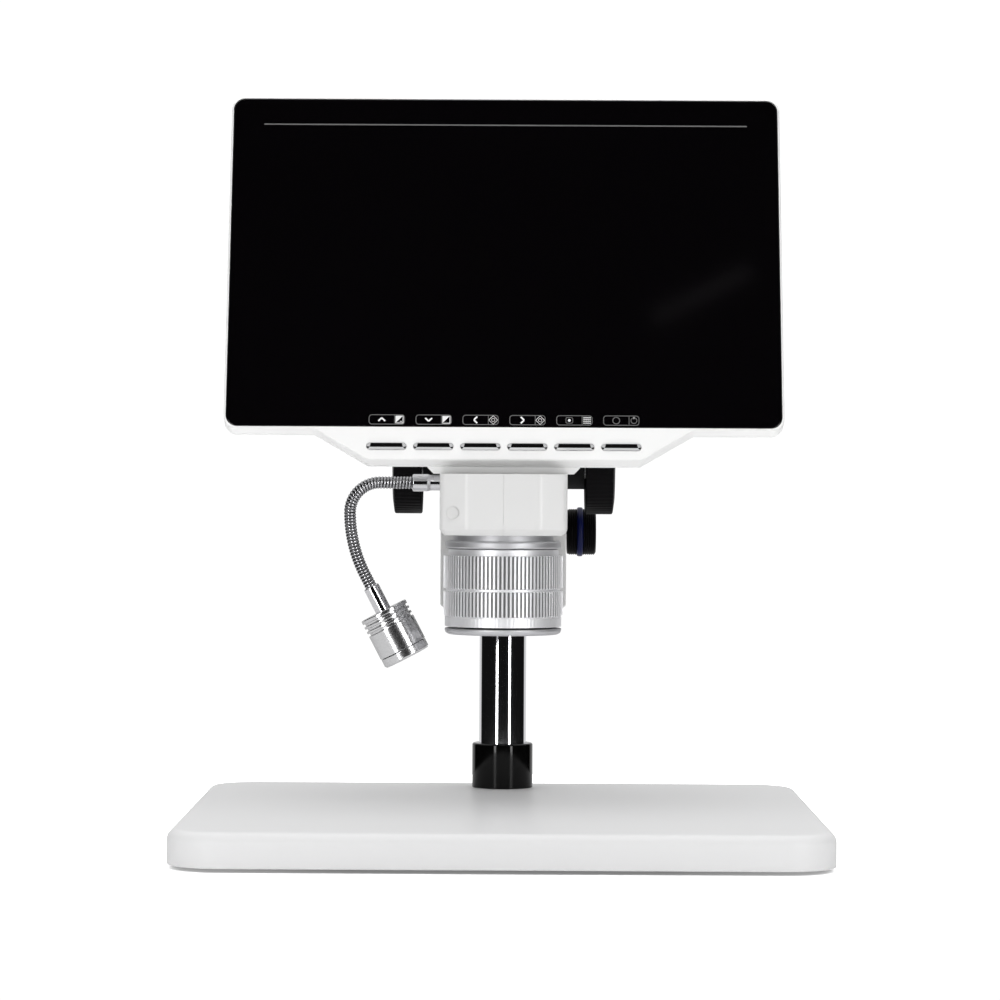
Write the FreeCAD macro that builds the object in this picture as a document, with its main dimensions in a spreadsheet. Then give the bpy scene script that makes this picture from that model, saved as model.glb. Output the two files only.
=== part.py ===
import FreeCAD, Part
import Sketcher
import math
import os
from types import SimpleNamespace

# Digital microscope with a nine-inch screen. Millimetres, +X right, +Y away from the user, +Z up.
# The origin is the centre of the base on the table top.

V = FreeCAD.Vector
DOC = FreeCAD.newDocument("microscope")

# Driving dimensions: alias, value and what it is.
DRIVING = [
    ("base_width", 252, "base, along X"),
    ("base_depth", 231, "base, along Y"),
    ("base_top", 15, "height of the base's top face"),
    ("base_corner", 20, "corner radius of the base in plan"),
    ("base_edge", 4, "rounding of the base's top edge"),
    ("base_wall", 3, "wall of the base shell"),
    ("foot_height", 1.5, "height of the rubber feet"),
    ("foot_radius", 7, "radius of a foot"),
    ("foot_inset", 21, "from the base's side to a foot's centre"),
    ("plate_thick", 3, "steel bottom plate"),
    ("post_y", 92, "post axis behind the lens axis"),
    ("post_radius", 10, "outside of the post"),
    ("post_wall", 2, "wall of the post tube"),
    ("post_top", 235, "height of the post's top end"),
    ("collar_radius", 12.9, "outside of the collar"),
    ("collar_height", 19, "collar above the base"),
    ("slug_length", 20, "threaded slug in the post"),
    ("bolt_radius", 4, "post bolt"),
    ("run_fit", 0.05, "radial clearance of a running fit"),
    ("gap", 0.3, "clearance between separate bodies"),
    ("bush_wall", 2, "liner between post and arm"),
    ("sleeve_radius", 17, "outside of the arm's sleeve"),
    ("sleeve_low", 96, "bottom of the sleeve"),
    ("arm_top", 168, "top of the sleeve and arm block"),
    ("block_low", 112, "bottom of the slide block"),
    ("block_half", 21, "half width of the slide block"),
    ("block_front", 40, "front of the slide block"),
    ("block_back", 78, "back of the slide block"),
    ("knob_y", 64, "focus shaft axis"),
    ("knob_z", 151, "focus shaft axis"),
    ("knob_radius", 19, "focus knob"),
    ("knob_inner", 34, "inner face of a focus knob from the middle"),
    ("knob_outer", 46.8, "outer face of a focus knob from the middle"),
    ("hub_radius", 8.5, "arm's boss around the focus shaft"),
    ("shaft_radius", 4, "focus shaft"),
    ("tooth_module", 0.8, "module of rack and pinion"),
    ("pinion_teeth", 15, "teeth of the pinion"),
    ("pinion_half", 3.8, "half width of pinion and rack"),
    ("lock_z", 124.2, "clamp knob axis"),
    ("lock_inner", 27, "inner face of the clamp knob from the middle"),
    ("lock_outer", 39.4, "outer face of the clamp knob"),
    ("lock_radius", 9.85, "clamp knob"),
    ("ring_radius", 10.5, "blue ring on the clamp knob"),
    ("ring_inner", 31.2, "blue ring's inner face"),
    ("ring_outer", 33.9, "blue ring's outer face"),
    ("stud_radius", 4, "clamp stud"),
    ("carriage_half", 25.8, "half width of the carriage plate"),
    ("carriage_front", 30, "front of the carriage plate"),
    ("carriage_thick", 8, "thickness of the carriage plate"),
    ("carriage_low", 92, "bottom of the carriage"),
    ("carriage_top", 176, "top of the carriage"),
    ("tongue_neck", 6, "half width of the slide tongue's neck"),
    ("tongue_half", 9, "half width of the slide tongue"),
    ("tongue_step", 42, "where the tongue widens, along Y"),
    ("tongue_back", 52, "back of the slide tongue"),
    ("housing_half", 25.35, "half width of the camera housing"),
    ("housing_front", 27.5, "front of the housing before the lens axis"),
    ("housing_flat", 14.6, "half width of the housing's flat front"),
    ("housing_slant", 4.8, "depth of the slanted front faces"),
    ("housing_low", 124.3, "bottom of the housing"),
    ("housing_top", 148.7, "top of the housing"),
    ("housing_wall", 2.4, "wall of the housing"),
    ("housing_bevel", 2.2, "bevel around the housing's bottom"),
    ("plinth_half", 30.5, "half width of the plinth"),
    ("plinth_screw_x", 17, "plinth screws left and right of the middle"),
    ("plinth_screw_front", -1, "front plinth screws, along Y"),
    ("plinth_screw_back", 22, "back plinth screws, along Y"),
    ("cable_half", 10, "half width of the way for the wires"),
    ("cable_front", 2, "front of the way for the wires, along Y"),
    ("cable_back", 18, "back of the way for the wires, along Y"),
    ("plug_x", 20.1, "screw plug left of the middle"),
    ("plug_z", 133.3, "screw plug height"),
    ("plug_radius", 2.4, "screw plug"),
    ("glass_width", 222, "front glass"),
    ("glass_height", 140.4, "front glass"),
    ("glass_corner", 4.7, "corner radius of the glass"),
    ("glass_thick", 1.9, "front glass"),
    ("glass_y", -13.5, "lower edge of the glass, along Y"),
    ("glass_z", 167.4, "lower edge of the glass, height"),
    ("display_tilt", 16.8, "screen leans back, degrees"),
    ("bezel", 0.9, "frame rim around the glass"),
    ("chin_height", 13.8, "chin below the glass"),
    ("chin_top_half", 75.9, "half width of the chin at the glass"),
    ("chin_low_half", 54.4, "half width of the chin's lower edge"),
    ("frame_depth", 8, "front frame, front to back"),
    ("frame_wall", 2.5, "front wall of the chin"),
    ("cover_plate", 1.6, "flat rim of the rear cover"),
    ("cover_depth", 24, "glass front to the back of the rear cover"),
    ("cover_half", 98, "half width of the rear cover's bulge"),
    ("cover_low", 4, "bulge's lower edge above the glass edge"),
    ("cover_high", 134, "bulge's upper edge above the glass edge"),
    ("cover_wall", 2, "wall of the rear cover"),
    ("cover_round", 8, "rounding of the bulge"),
    ("panel_width", 211, "screen panel"),
    ("panel_height", 126, "screen panel"),
    ("board_thick", 1.6, "circuit boards"),
    ("board_side", 40, "main board reaches this far past the middle"),
    ("board_low", 30, "main board's lower edge above the glass edge"),
    ("board_high", 112, "main board's upper edge above the glass edge"),
    ("vent_low", 92, "lower end of the vent slots above the glass edge"),
    ("vent_high", 118, "upper end of the vent slots above the glass edge"),
    ("vent_pitch", 7, "from vent slot to vent slot"),
    ("vent_width", 2, "width of a vent slot"),
    ("port_low", 44, "lowest socket above the glass edge"),
    ("port_pitch", 20, "from socket to socket"),
    ("button_pitch", 18.7, "from button to button"),
    ("button_length", 15.8, "button"),
    ("button_height", 2.7, "button"),
    ("button_drop", 8.2, "button centres below the glass edge"),
    ("button_proud", 0.8, "buttons stand out of the chin"),
    ("button_travel", 0.5, "how far a button presses in"),
    ("sensor_half", 15.5, "half width of the sensor board"),
    ("sensor_screw", 13.6, "sensor board's stands from the middle"),
    ("lens_end", 84.4, "bottom of the lens"),
    ("end_ring_top", 86.8, "top of the end ring"),
    ("grip_low", 87.6, "bottom of the turning ring"),
    ("rib_low", 91.4, "bottom of the lower knurl"),
    ("groove_low", 101.7, "bottom of the groove between the knurls"),
    ("groove_high", 102.9, "top of that groove"),
    ("rib_high", 116.1, "top of the upper knurl"),
    ("grip_high", 118.6, "top of the turning ring"),
    ("flange_low", 118.9, "bottom of the lens flange"),
    ("flange_high", 121.8, "top of the lens flange"),
    ("grip_radius", 24, "outside of the knurl"),
    ("band_radius", 23.45, "plain band and end ring"),
    ("waist_radius", 22.2, "turning ring above the knurl"),
    ("flange_radius", 23.2, "lens flange"),
    ("neck_radius", 20.2, "lens neck"),
    ("barrel_radius", 17.5, "outside of the fixed barrel"),
    ("barrel_bore", 15, "bore of the fixed barrel"),
    ("lamp_y", 6, "plane of the gooseneck and lamp"),
    ("lamp_z", 145, "axis of the upper ferrule"),
    ("socket_radius", 3.5, "upper ferrule"),
    ("socket_end", 36.9, "outer end of the upper ferrule from the middle"),
    ("neck_outer", 2.5, "gooseneck over its ribs"),
    ("neck_root", 2.2, "gooseneck between its ribs"),
    ("neck_bore", 1.5, "bore of the gooseneck"),
    ("neck_straight", 13.1, "gooseneck's straight start"),
    ("neck_bend", 12, "radius of the gooseneck's upper bend"),
    ("neck_sweep", 55, "radius of its long lower bend"),
    ("neck_tail", 5, "gooseneck's straight end"),
    ("neck_ribs", 50, "ribs on the gooseneck"),
    ("lamp_angle", 27.5, "lamp axis from the vertical, degrees"),
    ("ferrule_radius", 3.25, "lower ferrule"),
    ("ferrule_length", 11, "lower ferrule"),
    ("lamp_radius", 10, "lamp head"),
    ("lamp_length", 21.4, "lamp head with its end ring"),
    ("lamp_ring_length", 4, "lamp's end ring"),
]


class Size:
    """A length that carries its number and the sheet expression that gives it."""

    def __init__(self, value, text):
        self.value = float(value)
        self.text = text

    def combine(self, other, sign, swap=False):
        left, right = (size(other), self) if swap else (self, size(other))
        values = {
            "+": left.value + right.value,
            "-": left.value - right.value,
            "*": left.value * right.value,
        }
        return Size(values[sign], "(%s %s %s)" % (left.text, sign, right.text))

    def __add__(self, other):
        return self.combine(other, "+")

    def __radd__(self, other):
        return self.combine(other, "+", swap=True)

    def __sub__(self, other):
        return self.combine(other, "-")

    def __rsub__(self, other):
        return self.combine(other, "-", swap=True)

    def __mul__(self, other):
        return self.combine(other, "*")

    def __rmul__(self, other):
        return self.combine(other, "*", swap=True)

    def __truediv__(self, other):
        return Size(self.value / size(other).value, "(%s / %s)" % (self.text, size(other).text))

    def __neg__(self):
        return Size(-self.value, "(-1 * %s)" % self.text)


def size(value):
    """A plain number as a Size; a Size stays as it is."""
    return value if isinstance(value, Size) else Size(value, "%.9g" % value)


def cosine(angle):
    return Size(math.cos(math.radians(angle.value)), "cos(%s * 1 deg)" % angle.text)


def sine(angle):
    return Size(math.sin(math.radians(angle.value)), "sin(%s * 1 deg)" % angle.text)


SHEET = DOC.addObject("Spreadsheet::Sheet", "Sizes")
for row, (alias, value, note) in enumerate(DRIVING, start=1):
    SHEET.set("A%d" % row, str(value))
    SHEET.setAlias("A%d" % row, alias)
    SHEET.set("B%d" % row, note)
DOC.recompute()
D = SimpleNamespace(**{alias: Size(SHEET.get(alias), "Sizes." + alias) for alias, value, note in DRIVING})

NODES = []
MIDDLE = size(0)


def bind(item, **values):
    """Bind properties to sheet expressions; a double underscore stands for a dot."""
    for name, value in values.items():
        item.setExpression(name.replace("__", "."), size(value).text)


def place(item, x, y, z):
    bind(item, Placement__Base__x=x, Placement__Base__y=y, Placement__Base__z=z)


def block(name, x, y, z):
    """A box between the low and high values of x, y and z."""
    item = DOC.addObject("Part::Box", name)
    bind(item, Length=x[1] - x[0], Width=y[1] - y[0], Height=z[1] - z[0])
    place(item, x[0], y[0], z[0])
    return item


AXIS_TURN = {
    "X": FreeCAD.Rotation(V(0, 1, 0), 90),
    "Y": FreeCAD.Rotation(V(1, 0, 0), -90),
    "Z": FreeCAD.Rotation(),
}


def rod(name, axis, radius, start, length):
    """A cylinder from its start point along an axis."""
    item = DOC.addObject("Part::Cylinder", name)
    item.Placement = FreeCAD.Placement(V(), AXIS_TURN[axis])
    bind(item, Radius=radius, Height=length)
    place(item, *start)
    return item


def cone(name, radius_low, radius_high, start, length):
    item = DOC.addObject("Part::Cone", name)
    bind(item, Radius1=radius_low, Radius2=radius_high, Height=length)
    place(item, *start)
    return item


def join(name, pieces):
    item = DOC.addObject("Part::MultiFuse", name)
    item.Shapes = pieces
    return item


def minus(name, base, tools):
    """Base less all the tools."""
    item = DOC.addObject("Part::Cut", name)
    item.Base = base
    item.Tool = tools[0] if len(tools) == 1 else join(name + "_tools", tools)
    return item


def group(name, pieces):
    """Separate solids kept in one node."""
    item = DOC.addObject("Part::Compound", name)
    item.Links = pieces
    return item


def node(item, label):
    item.Label = label
    NODES.append(item)
    return item


def outline(body, plane, points):
    """A closed sketch of straight lines whose corners are tied to the sheet."""
    sketch = body.newObject("Sketcher::SketchObject", body.Name + "_outline")
    face = [f for f in body.Origin.OriginFeatures if f.Role == plane][0]
    sketch.AttachmentSupport = [(face, "")]
    sketch.MapMode = "FlatFace"
    corners = [V(size(a).value, size(b).value, 0) for a, b in points]
    count = len(corners)
    for i in range(count):
        sketch.addGeometry(Part.LineSegment(corners[i], corners[(i + 1) % count]))
    for i in range(count):
        sketch.addConstraint(Sketcher.Constraint("Coincident", i, 2, (i + 1) % count, 1))
    for i, (a, b) in enumerate(points):
        for kind, value in (("DistanceX", size(a)), ("DistanceY", size(b))):
            name = "%s%d" % (kind, i)
            sketch.addConstraint(Sketcher.Constraint(kind, -1, 1, i, 1, value.value))
            sketch.renameConstraint(sketch.ConstraintCount - 1, name)
            sketch.setExpression("Constraints." + name, value.text)
    return sketch


def turned(name, profile):
    """A body turned about Z from a closed outline of radius and height."""
    body = DOC.addObject("PartDesign::Body", name)
    sketch = outline(body, "XZ_Plane", profile)
    turn = body.newObject("PartDesign::Revolution", name + "_turn")
    turn.Profile = sketch
    turn.ReferenceAxis = (sketch, ["V_Axis"])
    turn.Angle = 360
    return body


PAD_TURN = {"XY_Plane": False, "XZ_Plane": True, "YZ_Plane": False}


def slab(name, plane, points, length, symmetric=False):
    """A body padded from an outline, towards +Z, +Y or +X."""
    body = DOC.addObject("PartDesign::Body", name)
    sketch = outline(body, plane, points)
    pad = body.newObject("PartDesign::Pad", name + "_pad")
    pad.Profile = sketch
    bind(pad, Length=length)
    pad.Midplane = symmetric
    pad.Reversed = PAD_TURN[plane] and not symmetric
    return body


def edges_where(shape, test):
    return ["Edge%d" % (i + 1) for i, edge in enumerate(shape.Edges) if test(edge)]


def along(edge, axis, tolerance=1e-6):
    """True for a straight edge parallel to an axis."""
    if edge.Curve.TypeId != "Part::GeomLine":
        return False
    return abs(abs(edge.tangentAt(edge.FirstParameter).dot(axis)) - 1) < tolerance


def is_upright(edge):
    return along(edge, V(0, 0, 1))


def is_across(edge):
    """True for a straight edge that runs from front to back."""
    return along(edge, V(0, 1, 0))


def is_case_corner(edge):
    """True for the screen case's four outer corners."""
    return is_across(edge) and abs(edge.Vertexes[0].X) > D.glass_width.value / 2


def dress(body, kind, test, **values):
    """Add a fillet or chamfer to the edges of a body that pass the test."""
    DOC.recompute()
    tip = body.Tip
    feature = body.newObject("PartDesign::" + kind, "%s_%s" % (body.Name, kind.lower()))
    feature.Base = (tip, edges_where(tip.Shape, test))
    bind(feature, **values)
    body.Tip = feature
    return body


def rounded_plate(name, half_x, half_y, low, high, corner):
    """A flat plate about the origin with rounded corners in plan."""
    points = [(-half_x, -half_y), (half_x, -half_y), (half_x, half_y), (-half_x, half_y)]
    body = slab(name, "XY_Plane", points, high - low)
    dress(body, "Fillet", is_upright, Radius=corner)
    bind(body, Placement__Base__z=low)
    return body


def base():
    """Shell, bottom plate, feet and screws."""
    half_x = D.base_width / 2
    half_y = D.base_depth / 2
    plate_top = D.foot_height + D.plate_thick
    roof = D.base_top - D.base_wall
    outer = rounded_plate("shell_outer", half_x, half_y, D.foot_height, D.base_top, D.base_corner)
    top = D.base_top.value - D.foot_height.value

    def is_top(edge):
        return all(abs(v.Z - top) < 1e-6 for v in edge.Vertexes)

    dress(outer, "Fillet", is_top, Radius=D.base_edge)
    inner = rounded_plate(
        "shell_inner", half_x - D.base_wall, half_y - D.base_wall, D.foot_height - 1, roof,
        D.base_corner - D.base_wall)
    hollow = minus("shell_hollow", outer, [inner])
    boss_height = roof + 1 - plate_top
    bosses = [rod("post_boss", "Z", D.post_radius + 8, (MIDDLE, D.post_y, plate_top), boss_height)]
    places = screw_places(half_x, half_y)
    for i, (x, y) in enumerate(places):
        bosses.append(rod("screw_boss%d" % i, "Z", 4, (x, y, plate_top), boss_height))
    solid = join("shell_solid", [hollow] + bosses)
    seat = plate_top + D.base_wall
    holes = [
        rod("post_seat", "Z", D.post_radius, (MIDDLE, D.post_y, seat), D.base_top),
        rod("bolt_way", "Z", D.bolt_radius + D.gap, (MIDDLE, D.post_y, D.foot_height), D.base_top),
    ]
    for i, (x, y) in enumerate(places):
        holes.append(rod("pilot%d" % i, "Z", 1.5, (x, y, plate_top - 1), 6))
    node(minus("base_shell", solid, holes), "base_shell")

    edge = D.base_wall + D.gap
    plate = rounded_plate(
        "plate_blank", half_x - edge, half_y - edge, D.foot_height, plate_top, D.base_corner - edge)
    holes = [rod("bolt_room", "Z", D.bolt_radius * 2 + 1, (MIDDLE, D.post_y, 0), plate_top + 1)]
    for i, (x, y) in enumerate(places):
        holes.append(rod("plate_hole%d" % i, "Z", 1.5, (x, y, 0), plate_top + 1))
        holes.append(rod("head_room%d" % i, "Z", 3.2, (x, y, 0), D.foot_height + 1.6))
    node(minus("base_plate", plate, holes), "base_plate")

    screws = []
    for i, (x, y) in enumerate(places):
        head = rod("base_screw_head%d" % i, "Z", 3, (x, y, D.foot_height + 0.3), 1.3)
        shank = rod("base_screw_shank%d" % i, "Z", 1.5, (x, y, D.foot_height + 1.6), D.plate_thick + 2.4)
        screws.append(join("base_screw%d" % i, [head, shank]))
    node(group("base_screws", screws), "base_screws")

    feet = []
    for i, (sx, sy) in enumerate(corner_signs()):
        x = sx * (half_x - D.foot_inset)
        y = sy * (half_y - D.foot_inset)
        feet.append(rod("foot%d" % i, "Z", D.foot_radius, (x, y, MIDDLE), D.foot_height))
    node(group("base_feet", feet), "base_feet")
    return seat


def corner_signs():
    return [(-1, -1), (1, -1), (1, 1), (-1, 1)]


def screw_places(half_x, half_y):
    """Centres of the four bottom screws."""
    inset = D.foot_inset + D.foot_radius * 2
    return [(sx * (half_x - inset), sy * (half_y - inset)) for sx, sy in corner_signs()]


def post(seat):
    """Chrome tube with slug, bolt, collar and cap."""
    centre = (MIDDLE, D.post_y)
    bore = D.post_radius - D.post_wall
    tube = rod("post_outer", "Z", D.post_radius, (*centre, seat), D.post_top - seat)
    hole = rod("post_hole", "Z", bore, (*centre, seat - 1), D.post_top)
    node(minus("post", tube, [hole]), "post")

    slug = rod("slug_blank", "Z", bore, (*centre, seat), D.slug_length)
    thread = rod("slug_thread", "Z", D.bolt_radius, (*centre, seat - 1), D.slug_length + 2)
    node(minus("post_plug", slug, [thread]), "post_plug")

    head_low = D.foot_height + 0.4
    head_top = D.foot_height + D.plate_thick
    head = rod("bolt_head", "Z", D.bolt_radius * 2, (*centre, head_low), head_top - head_low)
    shank = rod("bolt_shank", "Z", D.bolt_radius, (*centre, head_low), seat + D.slug_length - head_low - 2)
    node(join("post_bolt", [head, shank]), "post_bolt")

    ring = turned("post_collar", [
        (D.post_radius, D.base_top),
        (D.collar_radius, D.base_top),
        (D.collar_radius, D.base_top + D.collar_height - 0.8),
        (D.collar_radius - 0.8, D.base_top + D.collar_height),
        (D.post_radius, D.base_top + D.collar_height),
    ])
    bind(ring, Placement__Base__y=D.post_y)
    node(ring, "post_collar")

    cap = turned("post_cap", [
        (0, D.post_top - 8),
        (bore, D.post_top - 8),
        (bore, D.post_top),
        (D.post_radius, D.post_top),
        (D.post_radius, D.post_top + 1),
        (D.post_radius - 1.2, D.post_top + 2.2),
        (0, D.post_top + 2.2),
    ])
    bind(cap, Placement__Base__y=D.post_y)
    node(cap, "post_cap")


def arm():
    """Bush on the post, arm block with its sleeve, slide channel and bosses, and the clamp."""
    bush_in = D.post_radius + D.run_fit
    bush_out = bush_in + D.bush_wall
    lip = 1.5
    bush = turned("post_bush", [
        (bush_in, D.sleeve_low - D.gap - lip),
        (bush_out + 2.5, D.sleeve_low - D.gap - lip),
        (bush_out + 2.5, D.sleeve_low - D.gap),
        (bush_out, D.sleeve_low - D.gap),
        (bush_out, D.arm_top),
        (bush_in, D.arm_top),
    ])
    bind(bush, Placement__Base__y=D.post_y)
    node(bush, "post_bush")

    height = D.arm_top - D.sleeve_low
    sleeve = rod("sleeve", "Z", D.sleeve_radius, (MIDDLE, D.post_y, D.sleeve_low), height)
    side = D.block_half
    points = [
        (-side, D.block_front),
        (side, D.block_front),
        (side, D.block_back),
        (D.sleeve_radius, D.post_y),
        (-D.sleeve_radius, D.post_y),
        (-side, D.block_back),
    ]
    body = slab("slide_block", "XY_Plane", points, D.arm_top - D.block_low)

    def is_block_corner(edge):
        return is_upright(edge) and edge.Vertexes[0].Y < D.post_y.value - 1

    dress(body, "Fillet", is_block_corner, Radius=3)
    bind(body, Placement__Base__z=D.block_low)
    hub_half = D.knob_inner - D.gap
    hub = rod("hub", "X", D.hub_radius, (-hub_half, D.knob_y, D.knob_z), hub_half * 2)
    clamp_end = D.lock_inner - D.gap
    clamp = rod("clamp_boss", "X", 7, (MIDDLE, D.post_y, D.lock_z), clamp_end)
    solid = join("arm_solid", [sleeve, body, hub, clamp])
    fit = D.run_fit
    sleeve_bore = bush_out + fit
    pitch = D.tooth_module * D.pinion_teeth / 2
    room = pitch + D.tooth_module * 2
    channel = slab("channel", "XY_Plane", tongue_points(fit, D.block_front - 5), height * 2)
    bind(channel, Placement__Base__z=D.sleeve_low)
    rack_half = D.pinion_half + D.gap
    rack_low = D.block_low - 1
    shaft_half = D.knob_inner + 1
    tools = [
        rod("sleeve_bore", "Z", sleeve_bore, (MIDDLE, D.post_y, D.sleeve_low - 1), height + 2),
        channel,
        block("rack_way", (-rack_half, rack_half), (D.tongue_back - 1, D.knob_y), (rack_low, D.arm_top + 1)),
        rod("pinion_room", "X", room, (-rack_half, D.knob_y, D.knob_z), rack_half * 2),
        rod("shaft_bore", "X", D.shaft_radius + fit, (-shaft_half, D.knob_y, D.knob_z), shaft_half * 2),
        rod("stud_bore", "X", D.stud_radius + fit, (sleeve_bore - 1, D.post_y, D.lock_z), D.lock_inner),
    ]
    node(minus("arm_block", solid, tools), "arm_block")

    pad_start = sleeve_bore + 0.4
    node(rod("lock_pad", "X", D.stud_radius - 0.2, (pad_start, D.post_y, D.lock_z), 2), "lock_pad")
    stud_start = pad_start + 2 + D.gap
    stud_end = D.lock_outer - 4
    stud = rod("lock_stud", "X", D.stud_radius, (stud_start, D.post_y, D.lock_z), stud_end - stud_start)
    node(stud, "lock_stud")
    knob = knob_body("lock_knob_blank", D.lock_radius, D.lock_outer - D.lock_inner, grooves=2, deep=0.5)
    turn_to_x(knob, D.lock_inner, D.post_y, D.lock_z)
    axis = (D.post_y, D.lock_z)
    ring_length = D.ring_outer - D.ring_inner
    ring_bore = D.lock_radius - 1.5
    ring_seat = rod("ring_seat", "X", D.lock_radius + 2, (D.ring_inner, *axis), ring_length)
    ring_core = rod("ring_core", "X", ring_bore, (D.ring_inner - 1, *axis), ring_length + 2)
    seat = minus("ring_groove", ring_seat, [ring_core])
    stud_room = rod("stud_room", "X", D.stud_radius, (D.lock_inner - 1, *axis), stud_end - D.lock_inner + 1)
    node(minus("lock_knob", knob, [seat, stud_room]), "lock_knob")
    ring = turned("lock_ring", [
        (ring_bore, 0),
        (D.ring_radius, 0),
        (D.ring_radius, ring_length),
        (ring_bore, ring_length),
    ])
    turn_to_x(ring, D.ring_inner, D.post_y, D.lock_z)
    node(ring, "lock_ring")


def turn_to_x(item, x, y, z):
    """Lay a turned piece down so that its own Z runs along +X."""
    item.Placement = FreeCAD.Placement(V(), AXIS_TURN["X"])
    place(item, x, y, z)


def knob_body(name, radius, length, grooves, deep):
    """A turned knob with a bevelled outer rim and round grooves about its side."""
    bevel = 1.2
    points = [(0, 0), (radius - 0.6, 0), (radius, 0.6)]
    step = (length - bevel - 2) / (grooves + 1)
    for i in range(grooves):
        middle = step * (i + 1) + 0.8
        points += [(radius, middle - 0.5), (radius - deep, middle), (radius, middle + 0.5)]
    points += [(radius, length - bevel), (radius - bevel, length), (0, length)]
    return turned(name, points)


def tongue_points(fit, front):
    """Plan of the slide tongue, grown by the fit on every side that rubs."""
    neck = D.tongue_neck + fit
    wide = D.tongue_half + fit
    step = D.tongue_step - fit
    back = D.tongue_back + fit
    return [(-neck, front), (neck, front), (neck, step), (wide, step), (wide, back),
            (-wide, back), (-wide, step), (-neck, step)]


def gear_wire(module, teeth, thin):
    """Outline of a spur gear in the YZ plane: involute flanks as short straight lines."""
    pressure = math.radians(20)
    pitch = module * teeth / 2
    base_circle = pitch * math.cos(pressure)
    root = pitch - module * 1.15
    tip = pitch + module * 0.75

    def flank_angle(radius):
        roll = math.acos(min(1, base_circle / radius))
        return math.tan(roll) - roll

    half = (math.pi / 2 - thin / module) / teeth + flank_angle(pitch)
    low = max(root, base_circle)
    radii = [low + (tip - low) * k / 4 for k in range(5)]
    points = []
    for tooth in range(teeth):
        middle = 2 * math.pi * tooth / teeth - math.pi
        left = [(radius, middle - half + flank_angle(radius)) for radius in radii]
        right = [(radius, 2 * middle - angle) for radius, angle in reversed(left)]
        foot_left = [(root, middle - half)] if root < low - 1e-6 else []
        foot_right = [(root, middle + half)] if root < low - 1e-6 else []
        points += foot_left + left + right + foot_right
    corners = [V(0, r * math.cos(a), r * math.sin(a)) for r, a in points]
    return Part.makePolygon(corners + corners[:1])


def focus_drive():
    """Shaft, pinion, the two big knobs and the rack."""
    half = D.knob_outer - 3
    axis = (D.knob_y, D.knob_z)
    shaft = rod("focus_shaft", "X", D.shaft_radius, (-half, *axis), half * 2)
    node(shaft, "focus_shaft")

    module = D.tooth_module.value
    teeth = int(D.pinion_teeth.value)
    thin = 0.12
    width = D.pinion_half.value
    gear = Part.Face(gear_wire(module, teeth, thin)).extrude(V(width * 2, 0, 0))
    hole = Part.makeCylinder(D.shaft_radius.value, width * 4, V(-width, 0, 0), V(1, 0, 0))
    pinion = DOC.addObject("Part::Feature", "focus_pinion")
    pinion.Shape = gear.cut(hole)
    pinion.Placement = FreeCAD.Placement(V(-width, D.knob_y.value, D.knob_z.value), FreeCAD.Rotation())
    node(pinion, "focus_pinion")

    for side, label in ((-1, "focus_knob_left"), (1, "focus_knob_right")):
        knob = knob_body(label + "_blank", D.knob_radius, D.knob_outer - D.knob_inner, grooves=0, deep=0)
        turn_to_x(knob, D.knob_inner, *axis)
        if side < 0:
            knob.Placement = FreeCAD.Placement(V(), FreeCAD.Rotation(V(0, 1, 0), -90))
            place(knob, -D.knob_inner, *axis)
        hole = rod(label + "_bore", "X", D.shaft_radius, (-half, *axis), half * 2)
        node(minus(label, knob, [hole]), label)

    # The rack's pitch line touches the pinion's pitch circle, with a tooth gap facing the tooth.
    pitch_line = D.knob_y.value - module * teeth / 2
    spacing = math.pi * module
    slope = math.tan(math.radians(20))
    low = D.block_low.value + 14
    high = D.carriage_top.value - 1
    tip_y = pitch_line + module * 0.75
    root_y = pitch_line - module * 1.1
    half_pitch = spacing / 4 - thin / 2
    first = math.ceil((low + spacing - D.knob_z.value) / spacing - 0.5)
    last = math.floor((high - spacing - D.knob_z.value) / spacing - 0.5)
    points = [V(0, D.tongue_back.value, low), V(0, root_y, low)]
    for k in range(first, last + 1):
        middle = D.knob_z.value + (k + 0.5) * spacing
        wide = half_pitch + (pitch_line - root_y) * slope
        narrow = half_pitch - (tip_y - pitch_line) * slope
        points += [V(0, root_y, middle - wide), V(0, tip_y, middle - narrow)]
        points += [V(0, tip_y, middle + narrow), V(0, root_y, middle + wide)]
    points += [V(0, root_y, high), V(0, D.tongue_back.value, high)]
    rack = DOC.addObject("Part::Feature", "rack")
    rack.Shape = Part.Face(Part.makePolygon(points + points[:1])).extrude(V(width * 2, 0, 0))
    rack.Placement = FreeCAD.Placement(V(-width, 0, 0), FreeCAD.Rotation())
    node(rack, "rack")


def carriage():
    """White slide plate with the tongue that runs in the arm."""
    back = D.carriage_front + D.carriage_thick
    height = D.carriage_top - D.carriage_low
    half = D.carriage_half
    plate = slab("carriage_plate", "XY_Plane", [
        (-half, D.carriage_front), (half, D.carriage_front), (half, back), (-half, back)], height)

    def is_low_corner(edge):
        return is_across(edge) and edge.Vertexes[0].Z < 1

    dress(plate, "Chamfer", is_low_corner, Size=3)
    tongue = slab("carriage_tongue", "XY_Plane", tongue_points(MIDDLE, back - 1), height)
    for piece in (plate, tongue):
        bind(piece, Placement__Base__z=D.carriage_low)
    node(join("carriage", [plate, tongue]), "carriage")


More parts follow.
